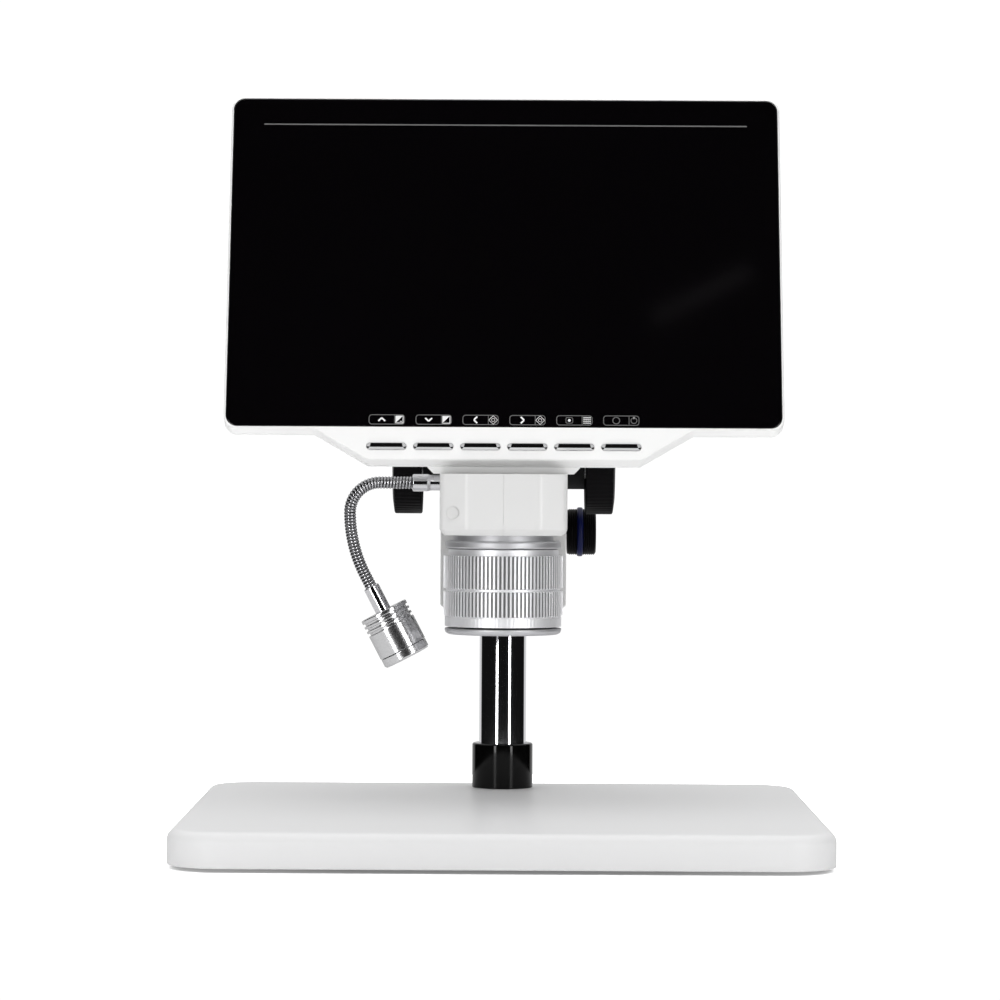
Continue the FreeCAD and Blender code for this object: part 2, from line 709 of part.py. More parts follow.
def half_housing(side, label):
    """One half of the housing: side is -1 for left and 1 for right."""
    wall = D.housing_wall
    wide = D.housing_half
    height = D.housing_top - D.housing_low

    def plan(inset, middle):
        front = -D.housing_front + inset
        slant = -D.housing_front + D.housing_slant + inset
        flat = D.housing_flat - inset * 0.2
        back = D.carriage_front - inset
        side_x = side * (wide - inset)
        return [(middle, front), (side * flat, front), (side_x, slant), (side_x, back), (middle, back)]

    outer = slab(label + "_outer", "XY_Plane", plan(MIDDLE, MIDDLE), height)

    def is_corner(edge):
        vertex = edge.Vertexes[0]
        return is_upright(edge) and abs(vertex.X) > 1 and vertex.Y < 0

    def is_bottom(edge):
        low = all(abs(v.Z) < 1e-6 for v in edge.Vertexes)
        at_back = all(v.Y > D.carriage_front.value - 1 for v in edge.Vertexes)
        at_seam = all(abs(v.X) < 1e-6 for v in edge.Vertexes)
        return low and not at_back and not at_seam

    # The corners are rounder than the bevel is deep, so that the bevel runs round them.
    dress(outer, "Fillet", is_corner, Radius=D.housing_bevel + 0.2)
    dress(outer, "Chamfer", is_bottom, Size=D.housing_bevel)
    inner = slab(label + "_inner", "XY_Plane", plan(wall, -side * size(1)), height - wall * 2)
    bind(outer, Placement__Base__z=D.housing_low)
    bind(inner, Placement__Base__z=D.housing_low + wall)
    tools = [
        rod(label + "_lens_hole", "Z", D.neck_radius, (MIDDLE, MIDDLE, D.housing_low - 1), wall + 2),
        cable_way(label + "_cable_way", D.housing_top - 4, D.housing_top + 1),
    ]
    for i, (x, y) in enumerate(plinth_places()):
        hole = (x, y, D.housing_top - wall - 1)
        tools.append(rod("%s_plinth_hole%d" % (label, i), "Z", 1.5, hole, wall + 2))
    posts = []
    for i, (y, z) in enumerate(housing_screw_places()):
        reach = wide - 0.5
        start = MIDDLE if side > 0 else -reach
        posts.append(rod("%s_post%d" % (label, i), "X", 2.6, (start, y, z), reach))
        through = reach + 4 if side < 0 else size(12)
        begin = -reach - 4 if side < 0 else MIDDLE
        tools.append(rod("%s_screw_way%d" % (label, i), "X", 1.3, (begin, y, z), through))
        if side < 0:
            tools.append(rod("%s_head_way%d" % (label, i), "X", 2.4, (-wide - 1, y, z), 5))
    if side < 0:
        plug_back = -D.housing_front + D.housing_slant + 4
        posts.append(rod("plug_boss", "Y", D.plug_radius + 1.2, (-D.plug_x, plug_back - 5, D.plug_z), 9))
        plug_front = -D.housing_front - 1
        plug_start = (-D.plug_x, plug_front, D.plug_z)
        tools.append(rod("plug_way", "Y", D.plug_radius, plug_start, plug_back - plug_front))
        tools.append(rod("socket_way", "X", D.socket_radius - 1, (-wide - 1, D.lamp_y, D.lamp_z), wall + 2))
    shape = minus(label + "_shell", outer, [inner])
    trimmed = DOC.addObject("Part::MultiCommon", label + "_posts")
    trimmed.Shapes = [join(label + "_post_set", posts), outer]
    solid = join(label + "_solid", [shape, trimmed])
    node(minus(label, solid, tools), label)


def cable_way(name, low, high):
    """Opening for the wires between camera and screen."""
    return block(name, (-D.cable_half, D.cable_half), (D.cable_front, D.cable_back), (low, high))


def housing_screw_places():
    """Y and Z of the screws that hold the halves together."""
    high = D.housing_top - 7
    back = D.carriage_front - D.housing_wall - 2
    front = -D.housing_front + D.housing_slant + D.housing_wall + 1.5
    return [(front, high), (back, high), (back, D.housing_low + 7.5)]


def plinth_places():
    """Centres of the four screws between housing and plinth."""
    return [(side * D.plinth_screw_x, y) for y in (D.plinth_screw_front, D.plinth_screw_back)
            for side in (-1, 1)]


def camera_head():
    """Housing halves, plug, screws and the plinth under the screen."""
    half_housing(-1, "housing_left")
    half_housing(1, "housing_right")
    front = -D.housing_front + D.housing_slant * 0.45
    plug = rod("plug_blank", "Y", D.plug_radius, (-D.plug_x, front, D.plug_z), 2.2)
    node(plug, "screw_plug")
    screws = []
    for i, (y, z) in enumerate(housing_screw_places()):
        head = rod("housing_screw_head%d" % i, "X", 2.2, (-D.housing_half + 2.4, y, z), 1.6)
        shank = rod("housing_screw_shank%d" % i, "X", 1.3, (-D.housing_half + 3, y, z), D.housing_half + 6)
        screws.append(join("housing_screw%d" % i, [head, shank]))
    node(group("housing_screws", screws), "housing_screws")

    depth = D.frame_depth + D.cover_plate
    back = D.carriage_front
    points = [
        (tilted_y(depth, -D.chin_height + 0.4), D.housing_top),
        (back, D.housing_top),
        (back, D.housing_top + 9),
        (tilted_y(D.cover_depth - 4, D.cover_low), tilted_z(D.cover_depth - 4, D.cover_low)),
        (tilted_y(depth, D.cover_low), tilted_z(depth, D.cover_low)),
        (tilted_y(depth, -D.chin_height + 0.4), tilted_z(depth, -D.chin_height + 0.4)),
    ]
    wedge = slab("plinth_wedge", "YZ_Plane", points, D.plinth_half * 2, symmetric=True)

    def is_flange_edge(edge):
        return is_across(edge) and abs(edge.Vertexes[0].Z - D.housing_top.value) < 1e-6

    dress(wedge, "Chamfer", is_flange_edge, Size=2.4)
    tools = [cable_way("plinth_way", D.housing_top - 1, D.glass_z)]
    for i, (x, y) in enumerate(plinth_places()):
        tools.append(rod("plinth_pilot%d" % i, "Z", 1.5, (x, y, D.housing_top - 1), 6))
    node(minus("head_plinth", wedge, tools), "head_plinth")
    screws = []
    for i, (x, y) in enumerate(plinth_places()):
        head_top = D.housing_top - D.housing_wall
        head = rod("plinth_screw_head%d" % i, "Z", 2.8, (x, y, head_top - 1.8), 1.8)
        shank = rod("plinth_screw_shank%d" % i, "Z", 1.5, (x, y, head_top - 1), D.housing_wall + 5)
        screws.append(join("plinth_screw%d" % i, [head, shank]))
    node(group("plinth_screws", screws), "plinth_screws")


def tilted_y(depth, up):
    """Y of a point of the screen, from its depth behind the glass and its height up the glass."""
    return D.glass_y + depth * cosine(D.display_tilt) + up * sine(D.display_tilt)


def tilted_z(depth, up):
    return D.glass_z - depth * sine(D.display_tilt) + up * cosine(D.display_tilt)


def on_screen(item, label=None):
    """Lean a piece drawn upright, with the glass edge at the origin, back into its place."""
    item.Placement = FreeCAD.Placement(V(), FreeCAD.Rotation(V(1, 0, 0), -D.display_tilt.value))
    item.setExpression("Placement.Rotation.Angle", (-D.display_tilt).text)
    place(item, MIDDLE, D.glass_y, D.glass_z)
    return node(item, label) if label else item


def screen_outline(grow):
    """Case outline seen from the front: a rectangle with the chin's trapezoid below."""
    half = D.glass_width / 2 + grow
    low = -D.bezel
    top = D.glass_height + grow
    return [
        (-half, top), (-half, low), (-D.chin_top_half, low), (-D.chin_low_half, -D.chin_height),
        (D.chin_low_half, -D.chin_height), (D.chin_top_half, low), (half, low), (half, top),
    ]


def button_places():
    """X of the six button centres with their names."""
    names = ["up", "down", "left", "right", "menu", "power"]
    return [(name, D.button_pitch * (i - 2.5)) for i, name in enumerate(names)]


def stadium(name, x, up, length, height, start, depth):
    """A bar with round ends, lying along X, whose thickness runs back from its start."""
    radius = height / 2
    reach = length / 2 - radius
    pieces = [block(name + "_bar", (x - reach, x + reach), (start, start + depth), (up - radius, up + radius))]
    for side in (-1, 1):
        end = "%s_end%d" % (name, side + 1)
        pieces.append(rod(end, "Y", radius, (x + side * reach, start, up), depth))
    return join(name, pieces)


def screen():
    """Frame, glass, panel, rear cover, boards, ports and buttons."""
    blank = slab("frame_blank", "XZ_Plane", screen_outline(D.bezel), D.frame_depth)
    dress(blank, "Fillet", is_case_corner, Radius=D.glass_corner + D.bezel)

    def is_chin_corner(edge):
        return is_across(edge) and edge.Vertexes[0].Z < -1.5

    dress(blank, "Fillet", is_chin_corner, Radius=4)
    half = D.glass_width / 2
    around = 0.1
    recess = slab("glass_recess", "XZ_Plane", rectangle(half + around, -around, D.glass_height + around),
                  D.glass_thick + 1)
    dress(recess, "Fillet", is_across, Radius=D.glass_corner)
    bind(recess, Placement__Base__y=-1)
    panel_low = (D.glass_height - D.panel_height) / 2 + 2
    panel_half = D.panel_width / 2
    window = block("window", (-panel_half, panel_half), (size(-1), D.frame_depth + 1),
                   (panel_low, panel_low + D.panel_height))
    chin_half = D.button_pitch * 3
    chin_low = -D.chin_height + 2
    chin_room = block("chin_room", (-chin_half, chin_half), (D.frame_wall, D.frame_depth + 1),
                      (chin_low, panel_low + 1))
    tools = [recess, window, chin_room]
    slot = 0.3
    for name, x in button_places():
        tools.append(stadium("slot_" + name, x, -D.button_drop, D.button_length + slot,
                             D.button_height + slot, size(-1), D.frame_wall + 2))
    screws = cover_screw_places()
    for i, (x, up) in enumerate(screws):
        tools.append(rod("frame_pilot%d" % i, "Y", 1, (x, 3.2, up), 6))
    on_screen(minus("front_frame", blank, tools), "front_frame")

    glass = slab("screen_glass", "XZ_Plane", rectangle(half, 0, D.glass_height), D.glass_thick)
    dress(glass, "Fillet", is_across, Radius=D.glass_corner)
    on_screen(glass, "screen_glass")
    panel = block("panel_blank", (-panel_half, panel_half), (D.glass_thick, D.frame_depth - 1.5),
                  (panel_low, panel_low + D.panel_height))
    on_screen(group("lcd_panel", [panel]), "lcd_panel")

    rim = slab("cover_rim", "XZ_Plane", screen_outline(D.bezel - 0.5), D.cover_plate)
    dress(rim, "Fillet", is_case_corner, Radius=D.glass_corner)
    bind(rim, Placement__Base__y=D.frame_depth)
    bulge = cover_bulge("bulge", MIDDLE, D.frame_depth)
    hollow = cover_bulge("bulge_hollow", D.cover_wall, D.frame_depth - 1)
    board_x = (-D.board_side, D.cover_half - D.cover_wall - 1)
    board_up = (D.board_low, D.board_high)
    board_back = D.cover_depth - D.cover_wall - 4
    inset = 4
    stands = []
    for i, x in enumerate((board_x[0] + inset, board_x[1] - inset)):
        for j, up in enumerate((board_up[0] + inset, board_up[1] - inset)):
            stands.append(rod("board_stand%d%d" % (i, j), "Y", 3, (x, board_back, up), 5))
    vents = []
    slots = 9
    for i in range(slots):
        x = (i - (slots - 1) / 2) * D.vent_pitch
        sides = (x - D.vent_width / 2, x + D.vent_width / 2)
        vents.append(block("vent%d" % i, sides, (D.cover_depth - 4, D.cover_depth + 1),
                           (D.vent_low, D.vent_high)))
    for i, (x, up) in enumerate(screws):
        vents.append(rod("cover_hole%d" % i, "Y", 1, (x, D.frame_depth - 1, up), 4))
    ports = port_boxes()
    for i, (up, length, thick) in enumerate(ports):
        way = (D.cover_half - 6, D.cover_half + 2)
        vents.append(port_block("port_way%d" % i, up, length + 0.4, thick + 0.4, *way))
    vents.append(block("neck_way", (-D.cable_half, D.cable_half),
                       (D.frame_depth + D.cover_plate + 1, D.cover_depth - 8),
                       (D.cover_low - 1, D.cover_low + 4)))
    shell = minus("cover_shell", join("cover_outer", [rim, bulge]), [hollow])
    on_screen(minus("rear_cover", join("cover_solid", [shell] + stands), vents), "rear_cover")

    fixings = []
    for i, (x, up) in enumerate(screws):
        back = D.frame_depth + D.cover_plate
        head = rod("cover_screw_head%d" % i, "Y", 1.6, (x, back, up), 0.8)
        shank = rod("cover_screw_shank%d" % i, "Y", 1, (x, size(3.4), up), back - 3)
        fixings.append(join("cover_screw%d" % i, [head, shank]))
    on_screen(group("cover_screws", fixings), "cover_screws")

    board = block("main_board_blank", board_x, (board_back - D.board_thick, board_back), board_up)
    on_screen(group("main_board", [board]), "main_board")
    sockets = []
    for i, (up, length, thick) in enumerate(ports):
        shell = port_block("port_outer%d" % i, up, length, thick, D.cover_half - 9, D.cover_half - 0.2)
        mouth = port_block("port_mouth%d" % i, up, length - 1, thick - 0.8,
                           D.cover_half - 6, D.cover_half + 1)
        sockets.append(minus("port%d" % i, shell, [mouth]))
    on_screen(group("port_sockets", sockets), "port_sockets")

    board_front = D.frame_depth - 2
    board = block("button_board_blank", (-chin_half + 1, chin_half - 1), (board_front, board_front + 1.2),
                  (chin_low, size(-2)))
    on_screen(group("button_board", [board]), "button_board")
    flange = D.frame_wall + D.gap
    flange_thick = 0.8
    switches = []
    start = flange + flange_thick + D.button_travel + D.gap
    centre = -D.button_drop
    for name, x in button_places():
        switches.append(block("switch_" + name, (x - 3, x + 3), (start, board_front),
                              (centre - 1.8, centre + 1.8)))
        cap = stadium("cap_" + name, x, centre, D.button_length, D.button_height,
                      -D.button_proud, flange + D.button_proud)
        plate = stadium("plate_" + name, x, centre, D.button_length + 1.6, D.button_height + 1.4,
                        flange, size(flange_thick))
        on_screen(join("button_" + name, [cap, plate]), "button_" + name)
    on_screen(group("tact_switches", switches), "tact_switches")


def rectangle(half, low, high):
    return [(-half, low), (half, low), (half, high), (-half, high)]


def cover_screw_places():
    """X and height of the screws in the case rim."""
    x = D.glass_width / 2 - 2.2
    return [(sx * x, up) for sx in (-1, 1) for up in (size(22), D.glass_height - 22)]


def cover_bulge(name, inset, start):
    """The raised back of the case, drawn in by a wall."""
    points = rectangle(D.cover_half - inset, D.cover_low + inset, D.cover_high - inset)
    deep = D.cover_depth - inset - start
    body = slab(name, "XZ_Plane", points, deep)
    radius = D.cover_round - inset
    dress(body, "Fillet", is_across, Radius=radius + 2)

    def is_back(edge):
        return all(abs(v.Y - deep.value) < 1e-6 for v in edge.Vertexes)

    dress(body, "Fillet", is_back, Radius=radius)
    bind(body, Placement__Base__y=start)
    return body


def port_boxes():
    """Height, length and thickness of the power, video and card sockets at the side."""
    mouths = [(9.2, 3.4), (11.2, 3.2), (12.4, 2)]
    return [(D.port_low + D.port_pitch * i, size(length), size(thick))
            for i, (length, thick) in enumerate(mouths)]


def port_block(name, up, length, thick, start, end):
    """A box on the main board at the side of the case."""
    depth = D.cover_depth - D.cover_wall - 7.8
    return block(name, (start, end), (depth - thick / 2, depth + thick / 2),
                 (up - length / 2, up + length / 2))


def lens():
    """Mount, barrel, turning ring, end ring, ring light, lens cell, elements and sensor board."""
    wall_top = D.housing_low + D.housing_wall
    mount = turned("mount_turned", [
        (D.barrel_radius, D.flange_low),
        (D.flange_radius - 0.4, D.flange_low),
        (D.flange_radius, D.flange_low + 0.4),
        (D.flange_radius, D.flange_high - 0.4),
        (D.flange_radius - 0.4, D.flange_high),
        (D.neck_radius, D.flange_high),
        (D.neck_radius, wall_top),
        (D.neck_radius + 1.8, wall_top),
        (D.neck_radius + 1.8, wall_top + 2),
        (D.barrel_radius, wall_top + 2),
    ])
    stands = []
    for i, (sx, sy) in enumerate(corner_signs()):
        foot = (sx * D.sensor_screw, sy * D.sensor_screw, wall_top + 1.9)
        stands.append(rod("sensor_stand%d" % i, "Z", 1.6, foot, 2.4))
    node(join("lens_mount", [mount] + stands), "lens_mount")

    lip = 1.0
    barrel = turned("lens_barrel", [
        (D.barrel_bore, D.lens_end + lip),
        (D.barrel_radius, D.lens_end + lip),
        (D.barrel_radius, wall_top + 2),
        (D.barrel_bore, wall_top + 2),
    ])
    node(barrel, "lens_barrel")
    ring = turned("end_ring", [
        (D.barrel_bore - 1.5, D.lens_end),
        (D.band_radius - 1.6, D.lens_end),
        (D.band_radius - 0.4, D.lens_end + 0.7),
        (D.band_radius, D.lens_end + 1.5),
        (D.band_radius, D.end_ring_top),
        (D.barrel_radius, D.end_ring_top),
        (D.barrel_radius, D.lens_end + lip),
        (D.barrel_bore - 1.5, D.lens_end + lip),
    ])
    node(ring, "end_ring")

    bore = D.barrel_radius + D.run_fit
    grip = turned("focus_ring", [
        (bore, D.grip_low),
        (D.band_radius, D.grip_low),
        (D.band_radius, D.rib_low),
        (D.grip_radius, D.rib_low),
        (D.grip_radius, D.groove_low),
        (D.band_radius, D.groove_low),
        (D.band_radius, D.groove_high),
        (D.grip_radius, D.groove_high),
        (D.grip_radius, D.rib_high),
        (D.waist_radius, D.rib_high),
        (D.waist_radius, D.grip_high),
        (bore, D.grip_high),
    ])
    node(grip, "focus_ring")

    window_low = D.lens_end + lip
    node(rod("led_window", "Z", D.barrel_bore, (MIDDLE, MIDDLE, window_low), 1.2), "led_window")
    board_low = window_low + 3.2
    annulus = rod("led_board_blank", "Z", D.barrel_bore, (MIDDLE, MIDDLE, board_low), 1.4)
    hole = rod("led_board_hole", "Z", D.barrel_bore - 6.4, (MIDDLE, MIDDLE, board_low - 1), 4)
    node(minus("led_board", annulus, [hole]), "led_board")
    lights = []
    for i in range(8):
        angle = Size(45 * i + 22.5, "%g" % (45 * i + 22.5))
        orbit = D.barrel_bore - 3
        place_at = (orbit * cosine(angle), orbit * sine(angle), board_low - 1.3)
        lights.append(rod("led%d" % i, "Z", 1.5, place_at, 1.3))
    node(group("led_lights", lights), "led_lights")

    nose = D.barrel_bore - 7.2
    cell_low = board_low + 0.6
    shoulder = cell_low + 6
    cell_out = D.barrel_bore - D.run_fit
    cell_top = shoulder + 23
    cell = turned("lens_cell", [
        (nose - 1.8, cell_low),
        (nose, cell_low),
        (nose, shoulder),
        (cell_out, shoulder),
        (cell_out, cell_top),
        (cell_out - 5, cell_top),
        (cell_out - 5, shoulder + 2),
        (nose - 1.8, shoulder + 2),
    ])
    node(cell, "lens_cell")
    elements = [cone("lens_front", nose - 2.4, nose - 1.8, (MIDDLE, MIDDLE, cell_low + 1), 2.5)]
    for i, up in enumerate((5, 14)):
        elements.append(rod("lens_disc%d" % i, "Z", cell_out - 5, (MIDDLE, MIDDLE, shoulder + up), 3))
    node(group("lens_elements", elements), "lens_elements")

    board_low = wall_top + 4.3
    span = (-D.sensor_half, D.sensor_half)
    board = block("sensor_pcb", span, span, (board_low, board_low + D.board_thick))
    chip_span = (size(-5), size(5))
    chip = block("sensor_chip", chip_span, chip_span, (board_low - 1.8, board_low + 0.2))
    node(join("sensor_board", [board, chip]), "sensor_board")


def neck_path():
    """Points of the gooseneck by distance: a function, its whole length, and the end's angle."""
    lean = math.radians(D.lamp_angle.value)
    straight = D.neck_straight.value
    bend = D.neck_bend.value
    sweep = D.neck_sweep.value
    lengths = [straight, bend * math.pi / 2, sweep * lean, D.neck_tail.value]
    start = V(-D.socket_end.value, D.lamp_y.value, D.lamp_z.value)
    turn_start = start + V(-straight, 0, 0)
    sweep_start = turn_start + V(-bend, 0, -bend)
    sweep_centre = sweep_start + V(sweep, 0, 0)
    tail_start = sweep_centre + V(-sweep * math.cos(lean), 0, -sweep * math.sin(lean))

    def at(distance):
        """Point and direction at a distance from the upper ferrule."""
        if distance <= lengths[0]:
            return start + V(-distance, 0, 0), V(-1, 0, 0)
        distance -= lengths[0]
        if distance <= lengths[1]:
            a = distance / bend
            point = turn_start + V(-bend * math.sin(a), 0, -bend + bend * math.cos(a))
            return point, V(-math.cos(a), 0, -math.sin(a))
        distance -= lengths[1]
        if distance <= lengths[2]:
            a = distance / sweep
            point = sweep_centre + V(-sweep * math.cos(a), 0, -sweep * math.sin(a))
            return point, V(math.sin(a), 0, -math.cos(a))
        distance -= lengths[2]
        direction = V(math.sin(lean), 0, -math.cos(lean))
        return tail_start + direction * distance, direction

    return at, sum(lengths)


def gooseneck():
    """Ribbed metal neck with its bore: a ruled loft, four circles to a rib."""
    at, total = neck_path()
    plain = D.neck_outer.value * 2
    ribs = int(D.neck_ribs.value)
    pitch = (total - plain * 2) / ribs
    crest = D.neck_outer.value
    root = D.neck_root.value
    stations = [(0.0, root)]
    for i in range(ribs):
        begin = plain + i * pitch
        stations += [(begin + pitch * share, radius) for share, radius in
                     ((0.0, root), (0.2, crest), (0.7, crest), (0.9, root))]
    stations += [(total - plain, root), (total, root)]

    def ring(distance, radius):
        point, direction = at(distance)
        axes = FreeCAD.Rotation(V(0, 1, 0), V(0, 0, 0), direction, "ZXY")
        edge = Part.Circle(V(0, 0, 0), V(0, 0, 1), radius).toShape()
        edge.Placement = FreeCAD.Placement(point, axes)
        return Part.Wire([edge])

    outer = Part.makeLoft([ring(s, r) for s, r in stations], True, True)
    steps = 40
    bore = [ring(total * k / steps, D.neck_bore.value) for k in range(steps + 1)]
    inner = Part.makeLoft(bore, True, True)
    item = DOC.addObject("Part::Feature", "gooseneck")
    item.Shape = outer.cut(inner)
    item.Placement = FreeCAD.Placement()
    node(item, "gooseneck")


def at_lamp(item, along_axis, label):
    """Put a piece turned about its own Z on the lamp's axis, below the gooseneck's end."""
    at, total = neck_path()
    point, direction = at(total)
    item.Placement = FreeCAD.Placement(
        point + direction * along_axis, FreeCAD.Rotation(V(0, 1, 0), -D.lamp_angle.value))
    return node(item, label)


def lamp():
    """Upper ferrule, gooseneck, lower ferrule and the lamp head."""
    reach = D.socket_end - D.housing_half
    collar = rod("socket_collar", "X", D.socket_radius, (-D.socket_end, D.lamp_y, D.lamp_z), reach)
    shank_start = (-D.housing_half - 1, D.lamp_y, D.lamp_z)
    shank = rod("socket_shank", "X", D.socket_radius - 1, shank_start, D.housing_wall + 2)
    node(join("lamp_socket", [collar, shank]), "lamp_socket")
    gooseneck()

    # Local Z points back up the axis, so heights below are negative.
    ferrule = turned("lamp_ferrule", [
        (0, -D.ferrule_length),
        (D.ferrule_radius, -D.ferrule_length),
        (D.ferrule_radius, size(-0.5)),
        (D.ferrule_radius - 0.5, 0),
        (0, 0),
    ])
    at_lamp(ferrule, 0, "lamp_ferrule")
    body_length = D.lamp_length - D.lamp_ring_length
    wall = 1.6
    inner = D.lamp_radius - wall
    points = [(0, 0), (0, -2.5), (inner, -2.5), (inner, -body_length), (D.lamp_radius, -body_length)]
    grooves = 3
    for i in reversed(range(grooves)):
        middle = -2.2 - i * 2.1
        points += [(D.lamp_radius, middle - 0.5), (D.lamp_radius - 0.9, middle - 0.5),
                   (D.lamp_radius - 0.9, middle + 0.5), (D.lamp_radius, middle + 0.5)]
    points += [(D.lamp_radius, -0.6), (D.lamp_radius - 0.6, 0)]
    at_lamp(turned("lamp_body", points), D.ferrule_length.value, "lamp_body")
    below = D.ferrule_length.value + body_length.value
    ring = turned("lamp_ring", [
        (inner - 1, -D.lamp_ring_length),
        (D.lamp_radius - 0.8, -D.lamp_ring_length),
        (D.lamp_radius - 0.15, -D.lamp_ring_length + 0.8),
        (D.lamp_radius - 0.15, 0),
        (inner - 1, 0),
    ])
    at_lamp(ring, below, "lamp_ring")
    window = turned("lamp_lens", [
        (0, -2.2), (inner - 1, -2.2), (inner - 1, -0.4), (0, -0.4)])
    at_lamp(window, below, "lamp_lens")
    board = turned("lamp_board", [
        (0, -1.6), (inner, -1.6), (inner, 0), (2.6, 0), (2.6, 0.01), (0, 0.01)])
    at_lamp(board, D.ferrule_length.value + 6, "lamp_board")


def check_and_write():
    """Stop on any failed object or bad shape, then write one file for each node."""
    DOC.recompute()
    for item in DOC.Objects:
        if "Invalid" in item.State or "Error" in item.State:
            raise RuntimeError("%s failed: %s" % (item.Label, item.State))
    labels = [item.Label for item in NODES]
    if len(set(labels)) != len(labels) or len(labels) > 60:
        raise RuntimeError("node names repeat, or there are too many")
    for item in NODES:
        if item.Shape.isNull() or not item.Shape.isValid():
            raise RuntimeError("%s has a bad shape" % item.Label)
    os.makedirs("parts", exist_ok=True)
    for item in NODES:
        item.Shape.exportStep("parts/%s.step" % item.Label)
        box = item.Shape.BoundBox
        print("%-18s %2d solids %10.1f mm3  z %.1f to %.1f" % (
            item.Label, len(item.Shape.Solids), item.Shape.Volume, box.ZMin, box.ZMax))


post(base())
arm()
focus_drive()
carriage()
camera_head()
screen()
lens()
lamp()
check_and_write()
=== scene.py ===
"""Bench microscope with a nine-inch screen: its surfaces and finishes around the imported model.

Lengths are in millimetres in this file and become metres when a mesh is made. +X is to the
user's right, +Y away from the user and +Z up, with the origin at the centre of the base.
"""
import logging
import math
from dataclasses import dataclass
from enum import Enum
from typing import Callable, Optional, Sequence

import bmesh
import bpy
import numpy as np
from mathutils import Matrix, Vector


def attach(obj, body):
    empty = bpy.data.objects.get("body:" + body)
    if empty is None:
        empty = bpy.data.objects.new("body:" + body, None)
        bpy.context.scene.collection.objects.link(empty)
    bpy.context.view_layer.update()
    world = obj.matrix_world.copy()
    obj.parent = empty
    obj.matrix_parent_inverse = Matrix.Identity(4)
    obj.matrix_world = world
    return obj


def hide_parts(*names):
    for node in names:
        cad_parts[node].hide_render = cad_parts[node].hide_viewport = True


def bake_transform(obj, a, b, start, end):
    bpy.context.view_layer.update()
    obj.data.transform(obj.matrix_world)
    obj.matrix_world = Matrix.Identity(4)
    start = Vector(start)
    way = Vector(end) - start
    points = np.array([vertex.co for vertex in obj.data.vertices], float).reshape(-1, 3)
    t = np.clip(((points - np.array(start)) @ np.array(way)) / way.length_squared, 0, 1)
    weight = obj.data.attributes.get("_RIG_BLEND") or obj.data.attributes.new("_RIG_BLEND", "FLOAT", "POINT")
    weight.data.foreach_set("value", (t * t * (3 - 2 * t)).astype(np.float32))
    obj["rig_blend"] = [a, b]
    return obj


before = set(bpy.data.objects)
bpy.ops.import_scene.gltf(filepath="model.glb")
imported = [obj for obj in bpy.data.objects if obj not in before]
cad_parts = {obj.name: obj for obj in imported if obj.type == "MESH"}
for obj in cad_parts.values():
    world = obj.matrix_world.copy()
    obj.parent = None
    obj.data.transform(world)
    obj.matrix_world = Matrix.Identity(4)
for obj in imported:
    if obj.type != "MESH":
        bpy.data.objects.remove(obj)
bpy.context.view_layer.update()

LOG = logging.getLogger("microscope")
MM = 0.001
IOR = 1.5
TILT = math.radians(16.8)
GLASS_Y = -13.5
GLASS_Z = 167.4
FULL_TURN = 2 * math.pi
Array = np.ndarray
Place = tuple[float, float, float]


class Grain(Enum):
    """Which surface pattern a finish carries."""

    MOULDED = "moulded"
    TURNED = "turned"
    CAST = "cast"
    SMUDGED = "smudged"


@dataclass(frozen=True)
class Finish:
    """One finish: what it is made of and how its surface varies.

    grain_size is in metres, contrast is how far the colour varies, spread how far the roughness
    does, relief is the bump's height in metres, centre and turn say where a turned part's axis
    lies, edge is the tint of its shine at a glance, and the last field how far painted shade
    darkens the colour at the bottom of its grooves.
    """

    name: str
    colour: Place
    roughness: float
    grain: Grain = Grain.MOULDED
    metallic: float = 0.0
    grain_size: float = 0.0006
    contrast: float = 0.03
    spread: float = 0.05
    relief: float = 0.000004
    transmission: float = 0.0
    centre: Place = (0.0, 0.0, 0.0)
    turn: Place = (0.0, 0.0, 0.0)
    glow: float = 0.0
    specular: float = 0.5
    edge: float = 1.0
    # painted shade: how far the colour darkens at the bottom of grooves, where shade falls
    painted_groove_shade: float = 0.0


@dataclass(frozen=True)
class Corner:
    """A corner of an outline: its place and its rounding radius."""

    x: float
    y: float
    radius: float = 0.0


